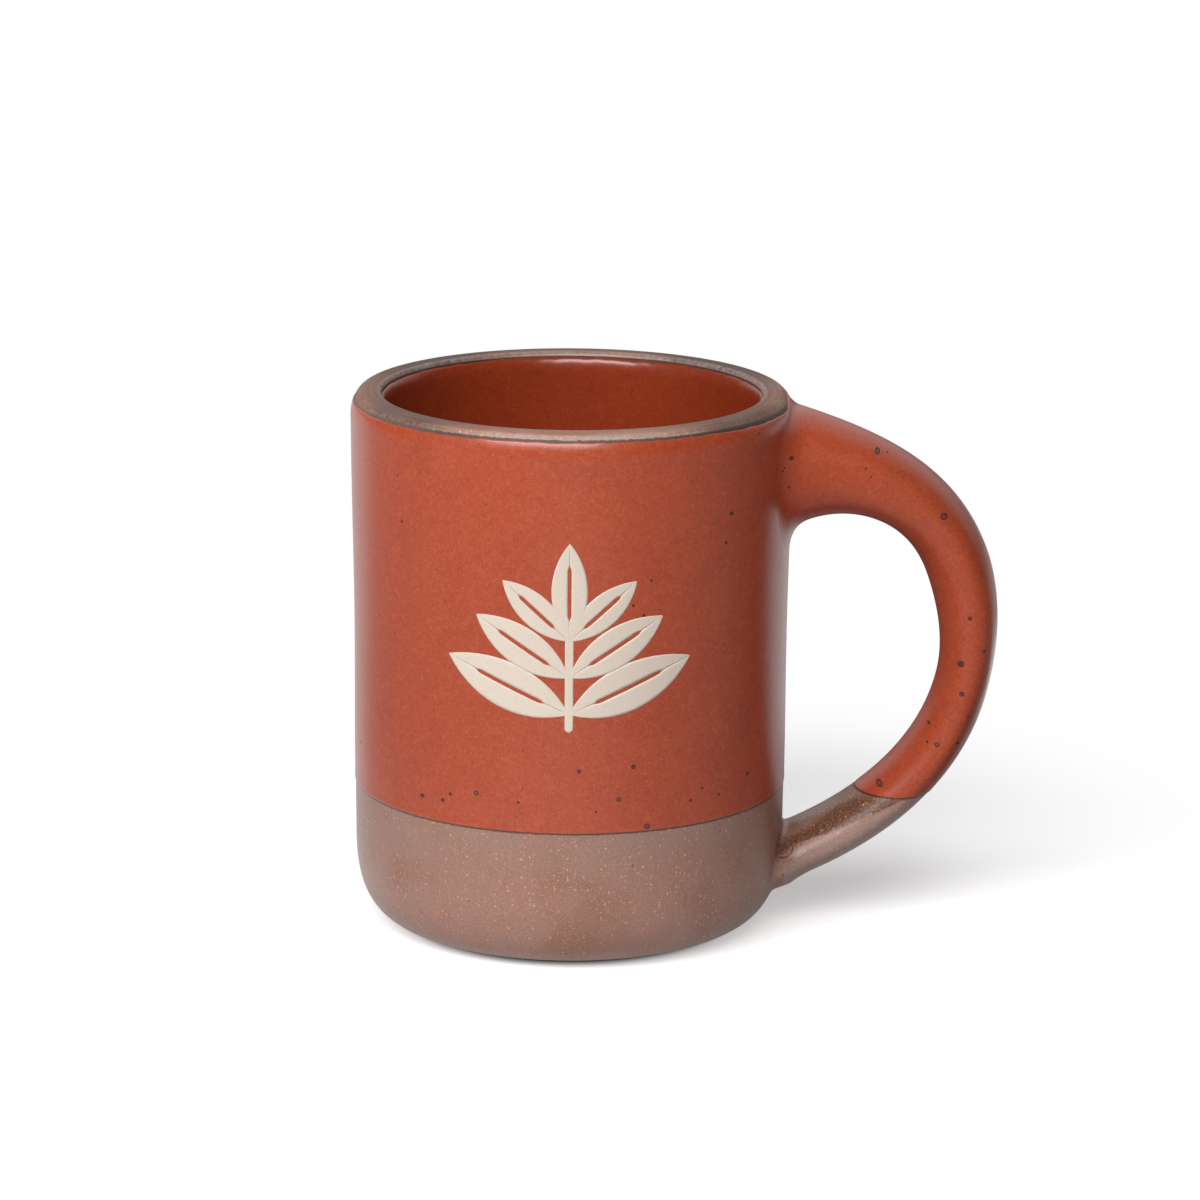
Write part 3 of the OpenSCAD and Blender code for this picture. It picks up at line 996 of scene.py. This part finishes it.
@dataclass(frozen=True)
class GlazeFinish:
    """Satin iron glaze: an even rust red with a fine curly grain, dark iron spots and thin dark edges.

    Attributes:
        rust: Its main colour.
        deep: Colour of its darker grain.
        pale: Colour of its lighter grain and flecks.
        iron: Colour of the spots and edges.
        rough: Roughness.
        gloss: Refractive index, which sets how much it shines.
        name: The material's name.
        spots: The larger spots, on the body first and then on the strap.
        strap_r: Radii between which the body's glaze passes into the strap's.
        mouth_r: Radii between which the inside passes into the outside.
        gap: Middle of the finger gap, as X and Z.
        gap_r: Distances from there between which the strap turns dull, where fingers hold it.
    """

    rust: Colour = (0.440, 0.066, 0.024)
    deep: Colour = (0.310, 0.040, 0.016)
    pale: Colour = (0.640, 0.190, 0.100)
    iron: Colour = (0.040, 0.024, 0.020)
    rough: float = 0.30
    gloss: float = 1.5
    name: str = "glaze"
    spots: tuple[Spot, ...] = (
        Spot(-28.0, 33.5, 0.5), Spot(-22.5, 35.0, 0.4), Spot(-24.0, 33.5, 0.45),
        Spot(-17.5, 36.0, 0.6, True), Spot(-9.5, 35.0, 0.35), Spot(2.0, 41.5, 0.5),
        Spot(12.3, 42.0, 0.55), Spot(9.6, 35.7, 0.55, True), Spot(15.0, 30.0, 0.65, True),
        Spot(5.3, 33.5, 0.3), Spot(23.3, 34.0, 0.35), Spot(25.5, 36.0, 0.3),
        Spot(28.8, 34.0, 0.3), Spot(34.4, 36.4, 0.4), Spot(12.0, 73.5, 0.35),
        Spot(14.0, 71.5, 0.35), Spot(13.5, 68.5, 0.3), Spot(30.5, 89.0, 0.45),
        Spot(29.5, 83.5, 0.35), Spot(-32.0, 86.5, 0.3),
        Spot(42.2, 96.2, 0.5), Spot(40.9, 94.5, 0.25), Spot(40.5, 93.9, 0.25), Spot(41.8, 90.5, 0.3),
        Spot(56.7, 93.6, 0.25), Spot(57.7, 92.0, 0.2), Spot(61.0, 95.8, 0.2), Spot(59.0, 96.3, 0.6, True),
        Spot(72.0, 84.0, 0.8, True), Spot(76.0, 54.5, 0.75), Spot(80.5, 57.0, 0.4),
        Spot(77.5, 63.8, 0.5), Spot(76.3, 48.6, 0.6), Spot(70.2, 41.9, 0.35), Spot(77.6, 43.9, 0.25),
        Spot(71.7, 38.3, 0.6, True), Spot(69.8, 38.5, 0.3), Spot(75.8, 38.5, 0.4),
        Spot(60.8, 29.5, 0.7, True))
    strap_r: Pair = (43.5, 47.0)
    mouth_r: Pair = (38.0, 39.0)
    gap: Pair = (50.0, 58.0)
    gap_r: Pair = (27.0, 22.0)

    def dark_spots(self, nodes: Nodes, place: Place) -> Value:
        """Where iron shows: strewn dots, more of them low down and on the strap, and the placed spots."""
        point = place.point
        many = place.height.ramp(60.0, 32.0).larger(place.radius.ramp(44.0, 47.0))
        dots = nodes.specks(point, 1.5, 0.08, 0.2, 0.06 + 0.2 * many, 40.0)
        large = nodes.specks(point, 4.0, 0.15, 0.45, 0.08 + 0.22 * many, 80.0)
        flat = nodes.add("ShaderNodeVectorMath", {"operation": "MULTIPLY"}, {0: point, 1: (1.0, 0.0, 1.0)})
        found = dots.larger(large)
        front = place.y.ramp(-2.0, -4.0)
        for spot in self.spots:
            centre = (spot.x, 0.0, spot.z)
            dark = nodes.spot(flat, centre, spot.radius)
            if spot.ringed:
                dark = dark - 0.5 * nodes.spot(flat, centre, 0.45 * spot.radius)
            found = found.larger(dark * front)
        return found

    def shade(self, place: Place, grain: Value, strap: Value, outside: Value) -> Value:
        """How light the colour is.

        It follows the grain, on the strap less so, and is lighter high on the wall. Along the strap's outer
        edge and on its level arm it is lighter as painted light, and inside at the right it is darker as
        painted shade.
        """
        x, height = place.x, place.height
        wall = 0.09 * height.ramp(45.0, 100.0) * (1 - strap)
        # Painted light: the strap's outer edge is lightened as if lit from the right.
        edge = 0.35 * x.ramp(78.0, 83.0) * height.ramp(80.0, 65.0)
        # Painted light: the level arm near the root is lightened as if by a pale reflection.
        arm = 0.12 * strap * x.ramp(72.0, 55.0) * height.ramp(70.0, 80.0)
        # Painted shade: the inside is darkened at the right.
        inside = 0.2 * x.ramp(10.0, 33.0) * (1 - outside)
        return 0.84 + (0.3 - 0.15 * strap) * grain + 0.035 * strap + wall + edge + arm - inside

    def shine(self, place: Place) -> Value:
        """Weight of a clear coat: under the rim in front and behind, and low on the strap's outer edge."""
        y, height = place.y, place.height
        rim = (0.25 + 0.5 * y.ramp(0.0, 30.0)) * height.ramp(102.0, 104.0) * (y * y).ramp(600.0, 1400.0)
        return rim.larger(0.6 * place.x.ramp(78.0, 82.0) * height.ramp(65.0, 55.0))

    def material(self, dip: float) -> bpy.types.Material:
        """Builds the material for a dip line at the given height."""
        material, nodes = material_nodes(self.name)
        place = nodes.place()
        point, height = place.point, place.height
        strap = place.radius.ramp(*self.strap_r)
        outside = place.radius.ramp(*self.mouth_r)
        curl = nodes.noise(point, 1.2, 3, 1.5)
        grain = nodes.noise(point, 0.45, 2)
        colour = nodes.mix(self.rust, self.deep, nodes.noise(point, 9, 3).ramp(0.45, 0.8) * 0.3)
        colour = nodes.mix(colour, self.deep, curl.ramp(0.5, 0.25) * 0.45)
        colour = nodes.mix(colour, self.pale, curl.ramp(0.5, 0.75) * 0.22)
        # The colour scale holds painted light and painted shade as well as the grain.
        colour = nodes.scaled(colour, self.shade(place, grain, strap, outside))
        flecks = nodes.specks(point, 0.9, 0.06, 0.16, 0.5) * 0.4
        threads = nodes.threads(point, 0.9).ramp(0.035, 0.01) * 0.3
        colour = nodes.mix(colour, self.pale, flecks.larger(threads))
        iron = self.dark_spots(nodes, place)
        wavy = 0.2 * nodes.noise(point, 1.0, 2)
        edge = height.ramp(dip + 0.2 + wavy, dip + 0.05 + wavy) * outside
        colour = nodes.mix(colour, self.iron, (iron * 0.9).larger(edge * 0.8))
        away = (place.x - self.gap[0]).hypot(height - self.gap[1])
        held = away.ramp(*self.gap_r) * height.ramp(40.0, 48.0) * strap
        relief = 0.5 * grain + 0.5 * nodes.noise(point, 2.2, 2) - 0.5 * iron
        shader_of(nodes, {
            "Base Color": colour,
            "Roughness": self.rough + 0.04 * (curl - 0.5) + 0.2 * iron + 0.08 * strap + 0.35 * held,
            "Coat Weight": self.shine(place),
            "Coat Roughness": 0.2,
            "IOR": self.gloss,
            "Normal": nodes.bump(relief, 0.03)})
        return material


@dataclass(frozen=True)
class ClayFinish:
    """Bare fired stoneware: brown under a greyish sheen, with clouds, copper flecks and dark specks.

    Attributes:
        tan: Its main colour.
        brown: Colour of its brown clouds.
        dark_band: Colour of the dark band along the strap's tail and of the smear at its joint.
        grey: Colour of the paler band under the glaze.
        rim: Colour of the sponged rim.
        painted_reflection: Painted reflection of the pale floor and backdrop on the tail, on both sides of
            its dark band.
        copper: Colour of the flecks.
        pale: Colour of the chips, painted glints and painted highlights along the rim's edges.
        dark: Colour of the specks and of the lines along the glaze.
        rough: Roughness.
        smear: Middle of the brown smear at the lower joint, in millimetres.
        band_at: A point on the dark band's middle line, as X and Z.
        band_across: Direction across that line, upwards, as X and Z.
        rim_side: Distance to the side at which the rim's glaze ends lowest.
    """

    tan: Colour = (0.335, 0.172, 0.133)
    brown: Colour = (0.235, 0.098, 0.055)
    dark_band: Colour = (0.090, 0.036, 0.023)
    grey: Colour = (0.330, 0.192, 0.152)
    rim: Colour = (0.230, 0.126, 0.094)
    painted_reflection: Colour = (0.340, 0.230, 0.207)
    copper: Colour = (0.760, 0.360, 0.180)
    pale: Colour = (0.560, 0.440, 0.390)
    dark: Colour = (0.050, 0.028, 0.022)
    rough: float = 0.38
    smear: Point = (41.5, -8.5, 16.8)
    band_at: Pair = (45.3, 18.6)
    band_across: Pair = (-0.44, 0.89)
    rim_side: float = 42.0

    def rim_colour(self, nodes: Nodes, place: Place) -> Value:
        """The sponged rim: fine lines that run round it, lighter and darker by turns.

        It is painted paler at its two sides, in front and on its inner edge behind, as highlights, and
        painted darker between them, at the front's corners and behind at the sides, as shade.
        """
        y, radius = place.y, place.radius
        aside = place.x * place.x
        drift = nodes.noise(place.point, 8, 2)
        across = nodes.add("ShaderNodeCombineXYZ", None, {0: radius, 1: place.height, 2: drift * 1.5})
        lines = nodes.noise(across, 0.4, 3)
        colour = nodes.mix(self.rim, self.brown, drift.ramp(0.4, 0.65) * 0.7)
        # Painted highlights at the two sides and in front, and painted shade at the front's corners.
        sides = 0.35 * aside.ramp(1300.0, 1600.0)
        front = 0.8 * y.ramp(-30.0, -39.0) - 0.25 * aside.ramp(324.0, 900.0) * y.ramp(-10.0, -20.0)
        # Painted highlight on the inner edge behind, and painted shade behind at the sides.
        back = 0.4 * y.ramp(25.0, 36.0) * aside.ramp(600.0, 100.0) * radius.ramp(38.6, 37.8)
        back = back - 0.5 * y.ramp(5.0, 25.0) * aside.ramp(50.0, 500.0)
        colour = nodes.scaled(colour, (0.35 + 1.2 * lines) * (1 + sides + front + back))
        return nodes.mix(colour, self.copper, nodes.specks(place.point, 1.2, 0.08, 0.2, 0.2) * 0.6)

    def lines(self, nodes: Nodes, place: Place, body: BodyForm, strap: StrapForm) -> tuple[Value, Value]:
        """The ragged dark lines along the glaze, and the pale chips above the one at the rim's outside.

        The pale chips are partly real and partly painted glints, set only in front where the lamp's
        highlight falls; the pale band over the rim's outer line is a painted glint and the pale line on its
        inner edge a painted highlight. The rim's line is set by the angle round the lip's ellipse: the arc
        tangent of the height over its centre, as a share of its height, and the distance outside it, as a
        share of its width.
        """
        x, y, height, radius = place.x, place.y, place.height, place.radius
        wavy = nodes.noise(place.point, 0.9, 2) - 0.5
        at = body.dip + (strap.dip - body.dip) * radius.ramp(43.2, 44.0) + 0.3 * wavy
        dip = height.ramp(at - 0.3, at - 0.1) * height.ramp(90.0, 80.0)
        rise = (height - body.lip_c[1]) * (body.lip_r / body.lip_h)
        angle = nodes.maths("ARCTAN2", rise, radius - body.lip_c[0])
        side = math.radians(body.wipe_side) * (x * x).ramp(0.0, self.rim_side ** 2)
        wipe = math.radians(body.wipe) - side + 0.2 * wavy
        lip = height.ramp(103.0, 104.0) * radius.ramp(38.0, 39.0)
        thicker = 0.18 * x.ramp(20.0, 34.0)
        outer = angle.ramp(wipe + 0.17 + thicker, wipe + 0.1) * lip * (1 - 0.6 * x.ramp(-22.0, -34.0))
        top = body.height - body.liner_drop + 0.3 * wavy
        bore = radius.ramp(body.lip_in_c[0], body.lip_in_c[0] - 0.3) * height.ramp(100.0, 101.0)
        inner = height.ramp(top + 0.4, top + 0.25) * bore
        # Partly real chips, partly painted glints: only in front, where the lamp's highlight falls.
        chips = nodes.specks(place.point, 0.7, 0.15, 0.4, 0.85, 20.0) * y.ramp(-30.0, -37.0)
        # Painted glint: a pale band over the rim's outer line, strongest in front.
        painted_glint = 0.1 + 0.4 * y.ramp(-35.0, -41.0) + 0.7 * wavy
        chips = chips.larger(painted_glint) * angle.ramp(wipe + 0.5, wipe + 0.3) * lip
        # The pale line along the rim's inner edge is a painted highlight.
        return dip.larger(outer).larger(inner), chips.larger(bore * (0.3 + wavy))

    def over_band(self, place: Place, curl: Value) -> Value:
        """Distance over the middle line of the dark band, across the strap's tail, with a curly edge."""
        to_x, to_z = self.band_across
        return to_z * (place.height - self.band_at[1]) + to_x * (place.x - self.band_at[0]) + (curl - 0.5)

    def tail_colour(self, nodes: Nodes, place: Place, colour: Value, tail: Value, over: Value,
                    curl: Value) -> Value:
        """The bare tail: a painted reflection below and above a dark band, and a swirled smear at its
        joint.

        Args:
            nodes: The tree.
            place: The point.
            colour: The clay's colour, on which the tail's is laid.
            tail: 1 on the tail and 0 elsewhere.
            over: Distance over the dark band's middle line.
            curl: The curly grain.

        Returns:
            The colour.
        """
        x = place.x
        wider = 1.4 * x.ramp(46.0, 54.0)
        # A dark brown band along the tail's upper side, between its top face and its front.
        dark_band = (over + 0.4 * wider).ramp(-1.0, -0.6) * (over - wider).ramp(1.0, 0.1)
        dark_band = dark_band * x.ramp(40.0, 42.0) * place.height.ramp(29.0, 26.0) * place.y.ramp(-2.0, -5.0)
        # Painted reflection of the pale floor and backdrop, below and above the dark band.
        colour = nodes.mix(colour, self.painted_reflection, tail * over.ramp(-1.3, -2.5) * 0.95)
        colour = nodes.mix(colour, self.painted_reflection, tail * (over - wider).ramp(0.5, 1.5) * 0.7)
        colour = nodes.scaled(colour, 1 - 0.4 * tail * over.ramp(0.5, 1.5))
        away = nodes.distance(place.point, self.smear)
        swirl = nodes.maths("SINE", 7.0 * away + 6.0 * curl, 0.0)
        smear = away.ramp(4.0, 2.5) * (0.55 + 0.45 * swirl)
        return nodes.mix(colour, self.dark_band, dark_band.larger(smear) * 0.95)

    def flecks(self, nodes: Nodes, point: Value, band: Value, tail: Value, top: Value) -> Value:
        """Share of copper: flecks and dust in clusters, fewer in the grey band, and curly threads."""
        clusters = nodes.noise(point, 6, 2).ramp(0.35, 0.62) * (1 - 0.6 * band)
        clusters = clusters.larger(0.3 * tail) * (1 - top)
        flecks = nodes.specks(point, 0.8, 0.1, 0.28, 0.25 + 0.6 * clusters - 0.15 * tail)
        dust = nodes.specks(point, 0.45, 0.08, 0.18, 0.35 + 0.65 * clusters, 30.0)
        threads = nodes.threads(point, 0.8).ramp(0.04, 0.01) * (0.15 + 0.3 * tail) * (1 - top)
        return (flecks * 0.9).larger(dust * 0.6).larger(threads)

    def material(self, body: BodyForm, strap: StrapForm) -> bpy.types.Material:
        """Builds the material for a body and a strap of the given sizes."""
        material, nodes = material_nodes("clay")
        place = nodes.place()
        point, height, radius = place.point, place.height, place.radius
        top = height.ramp(98.0, 101.0)
        tail = radius.ramp(43.0, 44.0) * height.ramp(29.5, 29.0)
        curl = nodes.noise(point, 1.6, 3, 2.0)
        grain = nodes.noise(point, 0.45, 3)
        over = self.over_band(place, curl)
        colour = nodes.mix(self.tan, self.brown, nodes.noise(point, 12, 3).ramp(0.42, 0.68) * 0.6)
        band = height.ramp(18.0, 27.0) * nodes.noise(point, 15, 2).ramp(0.3, 0.6)
        colour = nodes.mix(colour, self.grey, band)
        colour = self.tail_colour(nodes, place, colour, tail, over, curl)
        colour = nodes.scaled(colour, 0.7 + 0.6 * grain)
        colour = nodes.mix(colour, self.copper, self.flecks(nodes, point, band, tail, top))
        colour = nodes.mix(colour, self.rim_colour(nodes, place), top)
        dark, chips = self.lines(nodes, place, body, strap)
        # Pale chips with painted glints, and a painted highlight on the rim's inner edge.
        colour = nodes.mix(colour, self.pale, chips)
        specks = nodes.specks(point, 2.4, 0.1, 0.28, 0.3, 50.0)
        colour = nodes.mix(colour, self.dark, (specks * 0.8).larger(dark * 0.85))
        sheen = place.y.ramp(10.0, 30.0) * radius.ramp(38.5, 37.0)
        matte = (top * (1 - sheen)).larger(tail * over.ramp(1.5, 3.0))
        shader_of(nodes, {
            "Base Color": colour,
            "Roughness": self.rough + 0.2 * (grain - 0.5) + 0.25 * matte,
            "IOR": 1.55,
            "Normal": nodes.bump(grain + 0.5 * nodes.noise(point, 1.6, 2), 0.04)})
        return material


@dataclass(frozen=True)
class PrintFinish:
    """Fired-on cream print with a fine grain, through which the glaze shows a little.

    Attributes:
        cream: Its main colour.
        tinted: Its colour where it is thin.
        rough: Roughness.
    """

    cream: Colour = (0.800, 0.690, 0.580)
    tinted: Colour = (0.660, 0.450, 0.340)
    rough: float = 0.45

    def material(self) -> bpy.types.Material:
        """Builds the material."""
        material, nodes = material_nodes("print")
        grain = nodes.noise(nodes.place().point, 0.35, 3)
        shader_of(nodes, {
            "Base Color": nodes.mix(self.cream, self.tinted, grain.ramp(0.5, 0.85) * 0.5),
            "Roughness": self.rough + 0.2 * (grain - 0.5),
            "IOR": 1.4,
            "Normal": nodes.bump(grain, 0.03)})
        return material


@dataclass(frozen=True)
class Mug:
    """The whole mug.

    Attributes:
        body: Form of the thrown body.
        strap: Form of the strap handle.
        sprig: Form of the print.
        clay: Finish of the bare clay and slip.
        glaze: Finish of the outside.
        liner: Finish of the inside: the glaze in darker colours, which are painted shade, and without
            spots.
        strap_glaze: Finish of the strap.
        cream: Finish of the print.
    """

    body: BodyForm = BodyForm()
    strap: StrapForm = StrapForm()
    sprig: SprigForm = SprigForm()
    clay: ClayFinish = ClayFinish()
    glaze: GlazeFinish = GlazeFinish()
    # The inside's darker colours are painted shade: a shaded copy of the same glaze.
    liner: GlazeFinish = GlazeFinish(
        rust=(0.275, 0.033, 0.009), deep=(0.190, 0.021, 0.007), pale=(0.390, 0.095, 0.040),
        gloss=1.42, name="liner", spots=())
    strap_glaze: GlazeFinish = GlazeFinish(gloss=1.42, name="strap_glaze")
    cream: PrintFinish = PrintFinish()

    def build(self) -> None:
        """Builds every piece and dresses it."""
        body, strap = self.body, self.strap
        clay = self.clay.material(body, strap)
        outside = self.glaze.material(body.dip)
        inside = self.liner.material(body.dip)
        on_strap = self.strap_glaze.material(strap.dip)
        thrown = Patch(turned(body.clay_profile(), body.columns))
        add_piece("thrown_body", "clay_body", [thrown], clay)
        add_piece("pulled_strap", "clay_handle", [Patch(strap.clay_points())], clay)
        for end in End:
            slip = Patch(strap.slip_points(body, end), ring=True)
            add_piece(f"{end.value}_slip", f"{end.value}_slip_joint", [slip], clay)
        add_piece("inside_coat", "liner_glaze", [Patch(body.liner_points())], inside)
        add_piece("outside_coat", "body_glaze", [Patch(body.coat_points(), ring=True)], outside)
        coat = Patch(strap.coat_points(body), ring=True)
        add_piece("strap_coat", "handle_glaze", [coat], on_strap)
        add_piece("leaf_sprig", "front_print", self.sprig.patches(body), self.cream.material())


@dataclass(frozen=True)
class FloorFinish:
    """The pale floor.

    The camera sees it almost white, with the mug's shadow on it, and pure white far from the mug. A
    contact shadow under the foot and a soft shadow behind the handle's foot are painted on it, and
    reflections see a painted shadow of the mug behind and close to it. On the right a dark card keeps
    reflections and bounced light down, but for a white patch that lights the strap.

    Attributes:
        white_r: Distances from the mug's axis between which it passes into pure white.
        foot_r: Distances between which it is dark under the foot, as a painted contact shadow.
        close_r: Distances between which reflections see it darker close to the mug, as painted shadow.
        shadow_at: Middle of the painted soft shadow behind the handle's foot, as X and Y.
        shadow_r: Distances from there between which that shadow fades in.
        shadow: How much that painted shadow dims the floor.
        patch_at: Middle of the white patch, as X and Y.
        patch_r: Distances from there between which the patch fades in.
        glow: Its own light, which keeps the mug's shadow pale.
    """

    white_r: Pair = (90.0, 200.0)
    foot_r: Pair = (29.5, 33.9)
    close_r: Pair = (62.0, 36.0)
    shadow_at: Pair = (46.0, 30.0)
    shadow_r: Pair = (45.0, 5.0)
    shadow: float = 0.2
    patch_at: Pair = (122.0, 62.0)
    patch_r: Pair = (48.0, 28.0)
    glow: float = 0.48

    def bounced(self, place: Place, card: Value, patch: Value, close: Value) -> Value:
        """How pale it is to bounced light: paler in front, on the right, in the patch and close by."""
        beside = 0.12 * place.x.ramp(30.0, 60.0) * place.radius.ramp(120.0, 90.0)
        front = 0.35 * place.y.ramp(-20.0, -60.0) * place.radius.ramp(180.0, 120.0)
        return 0.28 - 0.2 * card + 0.5 * patch + beside + 0.15 * close + front

    def mirrored(self, place: Place, card: Value, close: Value) -> Value:
        """How white it is in reflections: darker on the card, behind, at the sides and close by."""
        x, y = place.x, place.y
        left = 0.6 * x.ramp(-50.0, -150.0) * (y + 0.7 * x).ramp(40.0, -40.0)
        right = 0.5 * x.ramp(25.0, 50.0) * place.radius.ramp(190.0, 130.0)
        # Darker behind the mug and close to it: the mug's shadow, painted for reflections.
        behind = (x + 0.25 * y).ramp(-30.0, 10.0) * (x - 0.25 * y).ramp(45.0, 25.0) * y.ramp(30.0, 70.0)
        return (1 - 0.85 * card - left) * (1 - 0.4 * close) * (1 - behind) * (1 - right)

    def material(self) -> bpy.types.Material:
        """Builds the material, which is clear from below."""
        material, nodes = material_nodes("floor")
        place = nodes.place()
        x, y = place.x, place.y
        shadow = (x - self.shadow_at[0]).hypot(y - self.shadow_at[1]).ramp(*self.shadow_r)
        patch = (x - self.patch_at[0]).hypot(y - self.patch_at[1]).ramp(*self.patch_r)
        # Painted contact shadow under the foot's edge, and a painted soft shadow behind the handle's foot.
        painted_shadow_factor = place.radius.ramp(*self.foot_r) * (1 - self.shadow * shadow)
        close = place.radius.ramp(*self.close_r)
        card = x.ramp(70.0, 110.0) * (y - 0.55 * x).ramp(30.0, 0.0) * (1 - 0.35 * y.ramp(20.0, -60.0))
        card = card * (1 - patch)
        path = nodes.add("ShaderNodeLightPath", output="Is Camera Ray")
        glossy = path.output("Is Glossy Ray") * self.mirrored(place, card, close)
        seen = path + path.output("Is Transmission Ray") + glossy
        bounced = self.bounced(place, card, patch, close)
        plain = nodes.add("ShaderNodeBsdfDiffuse", None, {"Color": bounced})
        pale = nodes.add("ShaderNodeBsdfDiffuse", None, {"Color": painted_shadow_factor})
        glow = nodes.add("ShaderNodeEmission", None, {"Strength": self.glow * painted_shadow_factor})
        near = nodes.add("ShaderNodeAddShader", None, {0: pale, 1: glow})
        white = nodes.add("ShaderNodeEmission", None, {"Strength": 1.0})
        far = place.radius.ramp(*self.white_r)
        bright = nodes.add("ShaderNodeMixShader", None, {0: far, 1: near, 2: white})
        above = nodes.add("ShaderNodeMixShader", None, {0: seen, 1: plain, 2: bright})
        clear = nodes.add("ShaderNodeBsdfTransparent")
        under = nodes.add("ShaderNodeNewGeometry", output="Backfacing")
        both = nodes.add("ShaderNodeMixShader", None, {0: under, 1: above, 2: clear})
        nodes.add("ShaderNodeOutputMaterial", None, {"Surface": both})
        return material


@dataclass(frozen=True)
class Lamp:
    """A rectangular lamp that faces the mug.

    Attributes:
        name: Its name.
        place: Its place in metres.
        size: Its width and height in metres.
        power: Its power in watts.
        shows: Whether it shows in reflections.
        aim: The point that it faces.
    """

    name: str
    place: Point
    size: Pair
    power: float
    shows: bool
    aim: Point = (0, 0, 0.05)

    def build(self) -> None:
        """Adds the lamp."""
        data = bpy.data.lights.new(self.name, "AREA")
        data.shape = "RECTANGLE"
        data.size, data.size_y = self.size
        data.energy = self.power
        lamp = add_object(self.name, data)
        lamp.visible_glossy = self.shows
        lamp.location = self.place
        ahead = Vector(self.aim) - Vector(self.place)
        lamp.rotation_euler = ahead.to_track_quat("-Z", "Y").to_euler()


@dataclass(frozen=True)
class Studio:
    """Camera, floor and light.

    Attributes:
        aim: Height on the mug's axis that the camera is set by, in millimetres.
        distance: Distance of the camera from it.
        elevation: Angle in degrees at which the camera looks down.
        beside: How far right of the mug the camera looks.
        over: How far above it the camera looks.
        roll: Degrees by which the camera is turned about its line of sight.
        sensor: Width of the camera's sensor.
        lens: Focal length for that sensor.
        floor_half: Half the floor's width, in metres.
        lamps: The lamps.
    """

    aim: float = 53.3
    distance: float = 1057.0
    elevation: float = 13.96
    beside: float = 5.7
    over: float = 10.8
    roll: float = 0.48
    sensor: float = 36.0
    lens: float = 161.6
    floor_half: float = 4.0
    lamps: tuple[Lamp, ...] = (
        Lamp("key", (-0.25, -0.88, 0.76), (1.1, 0.45), 12.6, True),
        Lamp("fill", (-1.1, -0.62, 0.38), (0.8, 0.8), 2.9, False))

    def camera(self) -> None:
        """Adds the camera at the photograph's viewing angle."""
        data = bpy.data.cameras.new("camera")
        data.sensor_width = self.sensor
        data.lens = self.lens
        data.clip_start = 0.05
        camera = add_object("camera", data)
        down = math.radians(self.elevation)
        turn = math.radians(self.roll)
        ahead = Vector((0, math.cos(down), -math.sin(down)))
        up = Vector((0, math.sin(down), math.cos(down)))
        right = Vector((1, 0, 0))
        place = Vector((0, 0, self.aim)) + self.beside * right + self.over * up - self.distance * ahead
        axes = (math.cos(turn) * right + math.sin(turn) * up,
                math.cos(turn) * up - math.sin(turn) * right,
                -ahead)
        camera.matrix_world = Matrix.Translation(place * MM) @ Matrix(axes).transposed().to_4x4()
        bpy.context.scene.camera = camera

    def floor(self) -> None:
        """Adds the floor, a square about the mug."""
        half = self.floor_half
        corners = [(-half, -half, 0), (half, -half, 0), (half, half, 0), (-half, half, 0)]
        mesh = bpy.data.meshes.new("floor")
        mesh.from_pydata(corners, [], [(0, 1, 2, 3)])
        mesh.materials.append(FloorFinish().material())
        add_object("floor", mesh)

    def sky(self) -> None:
        """Sets the world.

        It is white to the camera. It gives a little light from the left, from above and from behind at
        the right. Reflections see it white behind the mug, down to just over the floor.
        """
        world = bpy.data.worlds.new("studio")
        bpy.context.scene.world = world
        world.use_nodes = True
        nodes = Nodes(world.node_tree)
        x, y, z = nodes.split(nodes.add("ShaderNodeTexCoord", output="Generated"))
        path = nodes.add("ShaderNodeLightPath", output="Is Camera Ray")
        glossy = path.output("Is Glossy Ray")
        back = 0.95 * (y + 0.25 * x.ramp(0.0, 0.4)).ramp(0.45, 0.7) * z.ramp(0.0, 0.2)
        above = 0.22 * z.ramp(0.2, 0.9) * (1 - 0.6 * x.ramp(0.0, 0.6))
        beside = 0.3 * x.ramp(0.1, 0.5) * y.ramp(0.1, 0.5)
        light = 0.08 * x.ramp(0.5, -0.3) + (above + beside) * (1 - glossy) + back * glossy
        strength = light + (path + path.output("Is Transmission Ray")) * (1.0 - light)
        ground = nodes.add("ShaderNodeBackground", None, {"Color": (1, 1, 1, 1), "Strength": strength})
        nodes.add("ShaderNodeOutputWorld", None, {"Surface": ground})

    def build(self) -> None:
        """Adds everything that isn't the mug."""
        self.camera()
        self.floor()
        for lamp in self.lamps:
            lamp.build()
        self.sky()
        bpy.context.scene.view_settings.view_transform = "Standard"


def main() -> None:
    """Builds the mug and the studio."""
    logging.basicConfig(level=logging.INFO, format="%(name)s: %(message)s")
    Studio().build()
    Mug().build()


if __name__ == "__main__":
    main()
